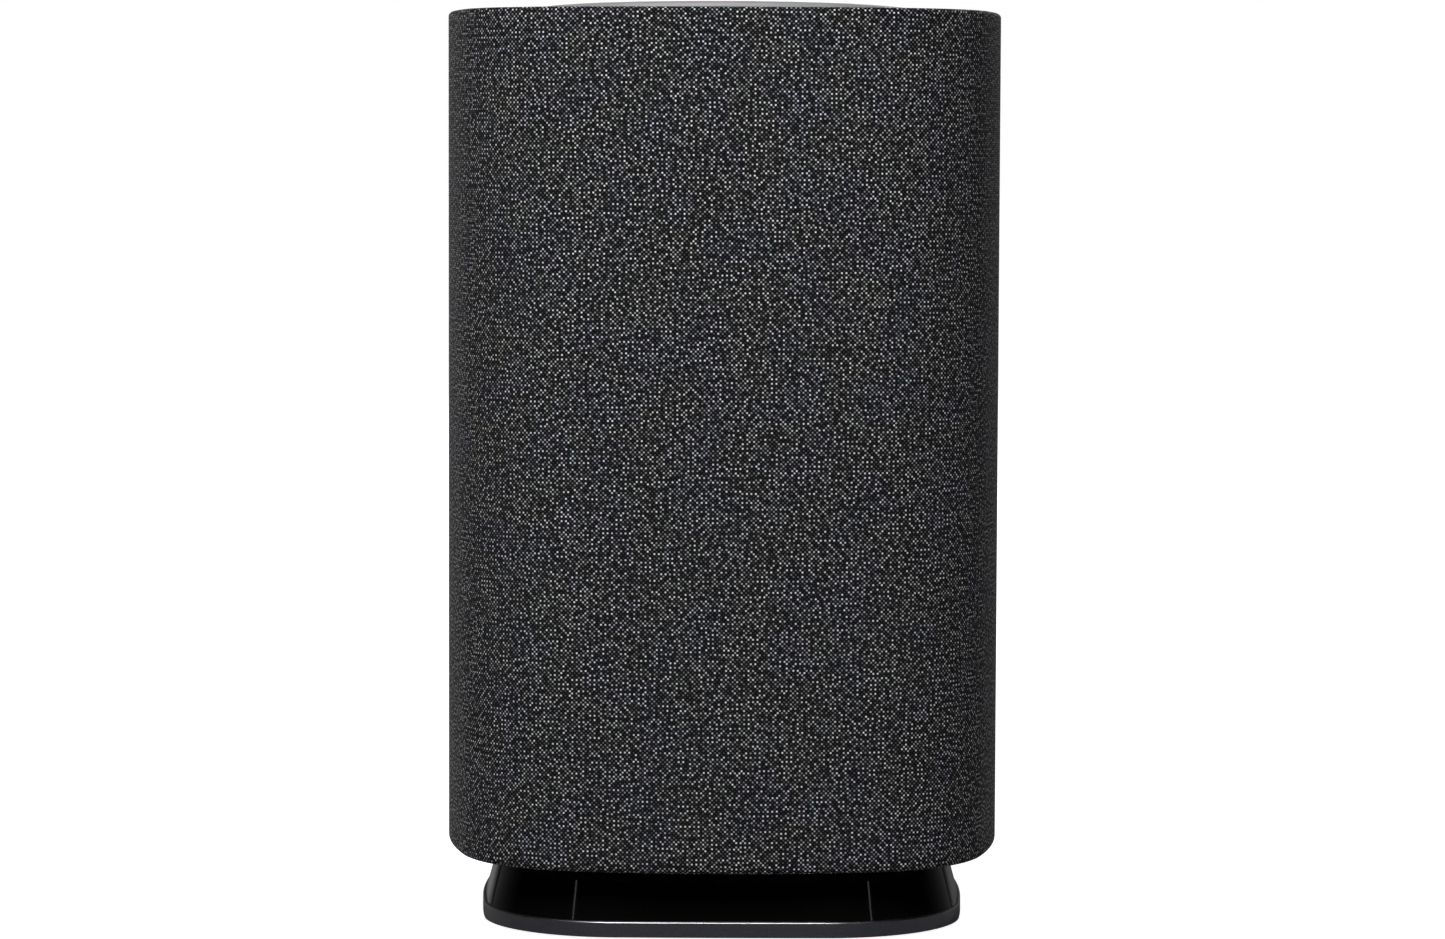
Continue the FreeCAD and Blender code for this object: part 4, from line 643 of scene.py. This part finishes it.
def bar(x, y, wide, tall, turn=0.0, corner=0.5):
    """A straight bar with round ends, as an outline."""
    radius = min(wide, tall) / 2 * corner * 2
    points = []
    for index, (side, end) in enumerate(((1, 1), (-1, 1), (-1, -1), (1, -1))):
        for step in range(5):
            angle = math.pi / 2 * (index + step / 4)
            along = side * (wide / 2 - radius) + radius * math.cos(angle)
            up = end * (tall / 2 - radius) + radius * math.sin(angle)
            points.append((x + along * math.cos(turn) - up * math.sin(turn),
                           y + along * math.sin(turn) + up * math.cos(turn)))
    return points


def make_signs():
    flat_sign("minus_sign", "volume_down_key", [bar(0, 0, 4.4, 0.7)])
    arm = 1.5
    flat_sign("plus_sign", "volume_up_key", [bar(0, 0, 4.4, 0.7), bar(0, arm, 0.7, 1.5), bar(0, -arm, 0.7, 1.5)])
    triangle = [(-2.6, 2.1), (-2.6, -2.1), (0.9, 0)]
    flat_sign("play_sign", "play_key", [triangle, bar(1.7, 0, 0.7, 4.2), bar(3.1, 0, 0.7, 4.2)])
    flat_sign("mute_sign", "mic_mute_key", [bar(0, 0.5, 1.3, 2.6), bar(0, -1.5, 0.4, 0.9), bar(0, -2.1, 1.8, 0.4),
                                            bar(1.6, 0.1, 0.4, 4.2, math.radians(-38))])


make_signs()


# ---------------------------------------------------------------- floor, world and lights

def make_floor():
    """A floor that shows white to the camera except in the object's shadow; to bounced and reflected light it is
    pale in front and darkens behind the object as painted shade.
    """
    mesh = bpy.data.meshes.new("floor")
    shape = bmesh.new()
    bmesh.ops.create_grid(shape, x_segments=1, y_segments=1, size=12)
    shape.to_mesh(mesh)
    shape.free()
    floor = bpy.data.objects.new("floor", mesh)
    bpy.context.scene.collection.objects.link(floor)
    graph = Graph("floor")
    seen = graph.node("ShaderNodeLightPath").outputs["Is Camera Ray"]
    back = graph.node("ShaderNodeSeparateXYZ", {"Vector": graph.place()}).outputs[1]
    # Painted shade: for bounced and reflected light the floor's colour falls from 0.33 in front to 0.06 behind the
    # object, as if the far floor lay in the dark.
    bounced_color_with_painted_shade = graph.blend(graph.spread(back, 0.0, 0.25), rgb(0.33), rgb(0.06))
    graph.finish(graph.blend(seen, bounced_color_with_painted_shade, rgb(0.75)), 0.9, Specular_IOR_Level=0.0)
    graph.feed(graph.shader.inputs["Emission Color"], rgb(1.0))
    glow = graph.spread(back, 0.2, 1.5, 0.95, 1.0)
    graph.feed(graph.shader.inputs["Emission Strength"], graph.maths("MULTIPLY", seen, glow))
    mesh.materials.append(graph.material)


def make_world():
    """White where the camera or a reflection sees the backdrop, and a dimmer even light for everything else."""
    world = bpy.data.worlds.new("world")
    bpy.context.scene.world = world
    world.use_nodes = True
    tree = world.node_tree
    ground = tree.nodes["Background"]
    path = tree.nodes.new("ShaderNodeLightPath")
    coordinate = tree.nodes.new("ShaderNodeTexCoord")
    split = tree.nodes.new("ShaderNodeSeparateXYZ")
    tree.links.new(coordinate.outputs["Generated"], split.inputs[0])

    def spread(low, high, to_low, to_high):
        made = tree.nodes.new("ShaderNodeMapRange")
        for name, value in (("From Min", low), ("From Max", high), ("To Min", to_low), ("To Max", to_high)):
            made.inputs[name].default_value = value
        tree.links.new(split.outputs["Y"], made.inputs["Value"])
        return made.outputs[0]

    def maths(operation, *values):
        made = tree.nodes.new("ShaderNodeMath")
        made.operation = operation
        for socket, value in zip(made.inputs, values):
            if isinstance(value, bpy.types.NodeSocket):
                tree.links.new(value, socket)
            else:
                socket.default_value = value
        return made.outputs[0]

    reflected = maths("MAXIMUM", path.outputs["Is Glossy Ray"], path.outputs["Is Transmission Ray"])
    backdrop = maths("MULTIPLY", spread(0.2, 0.85, 0.0, 0.15), spread(0.8, 1.0, 1.0, 0.5))
    shown = maths("MAXIMUM", path.outputs["Is Camera Ray"], maths("MULTIPLY", reflected, backdrop))
    seen = maths("MAXIMUM", path.outputs["Is Camera Ray"], reflected)
    dim = maths("MULTIPLY", maths("SUBTRACT", 1.0, seen), AMBIENT)
    tree.links.new(maths("ADD", shown, dim), ground.inputs["Strength"])
    ground.inputs["Color"].default_value = (1, 1, 1, 1)


AMBIENT = 0.05


def area_light(name, azimuth, elevation, distance, wide, tall, level):
    """A soft lamp aimed at the object; level is what it adds to a white surface facing it."""
    lamp = bpy.data.lights.new(name, "AREA")
    lamp.shape = "RECTANGLE"
    lamp.size = wide
    lamp.size_y = tall
    lamp.energy = level * math.pi ** 2 * distance ** 2
    thing = bpy.data.objects.new(name, lamp)
    bpy.context.scene.collection.objects.link(thing)
    turn = math.radians(azimuth)
    rise = math.radians(elevation)
    away = Vector((math.sin(turn) * math.cos(rise), -math.cos(turn) * math.cos(rise), math.sin(rise)))
    aim = (cad_low + cad_high) / 2
    thing.location = aim + away * distance
    thing.rotation_mode = "QUATERNION"
    thing.rotation_quaternion = (-away).to_track_quat("-Z", "Y")
    return thing


make_floor()
make_world()
area_light("key_lamp", -11, 43, 0.72, 0.35, 0.3, 1.14)
area_light("back_lamp", 172, 32, 1.6, 1.0, 0.6, 0.42)
area_light("left_strip", -41, 24, 1.2, 0.006, 0.5, 0.006)
area_light("right_strip", 42, 24, 1.2, 0.006, 0.5, 0.006)
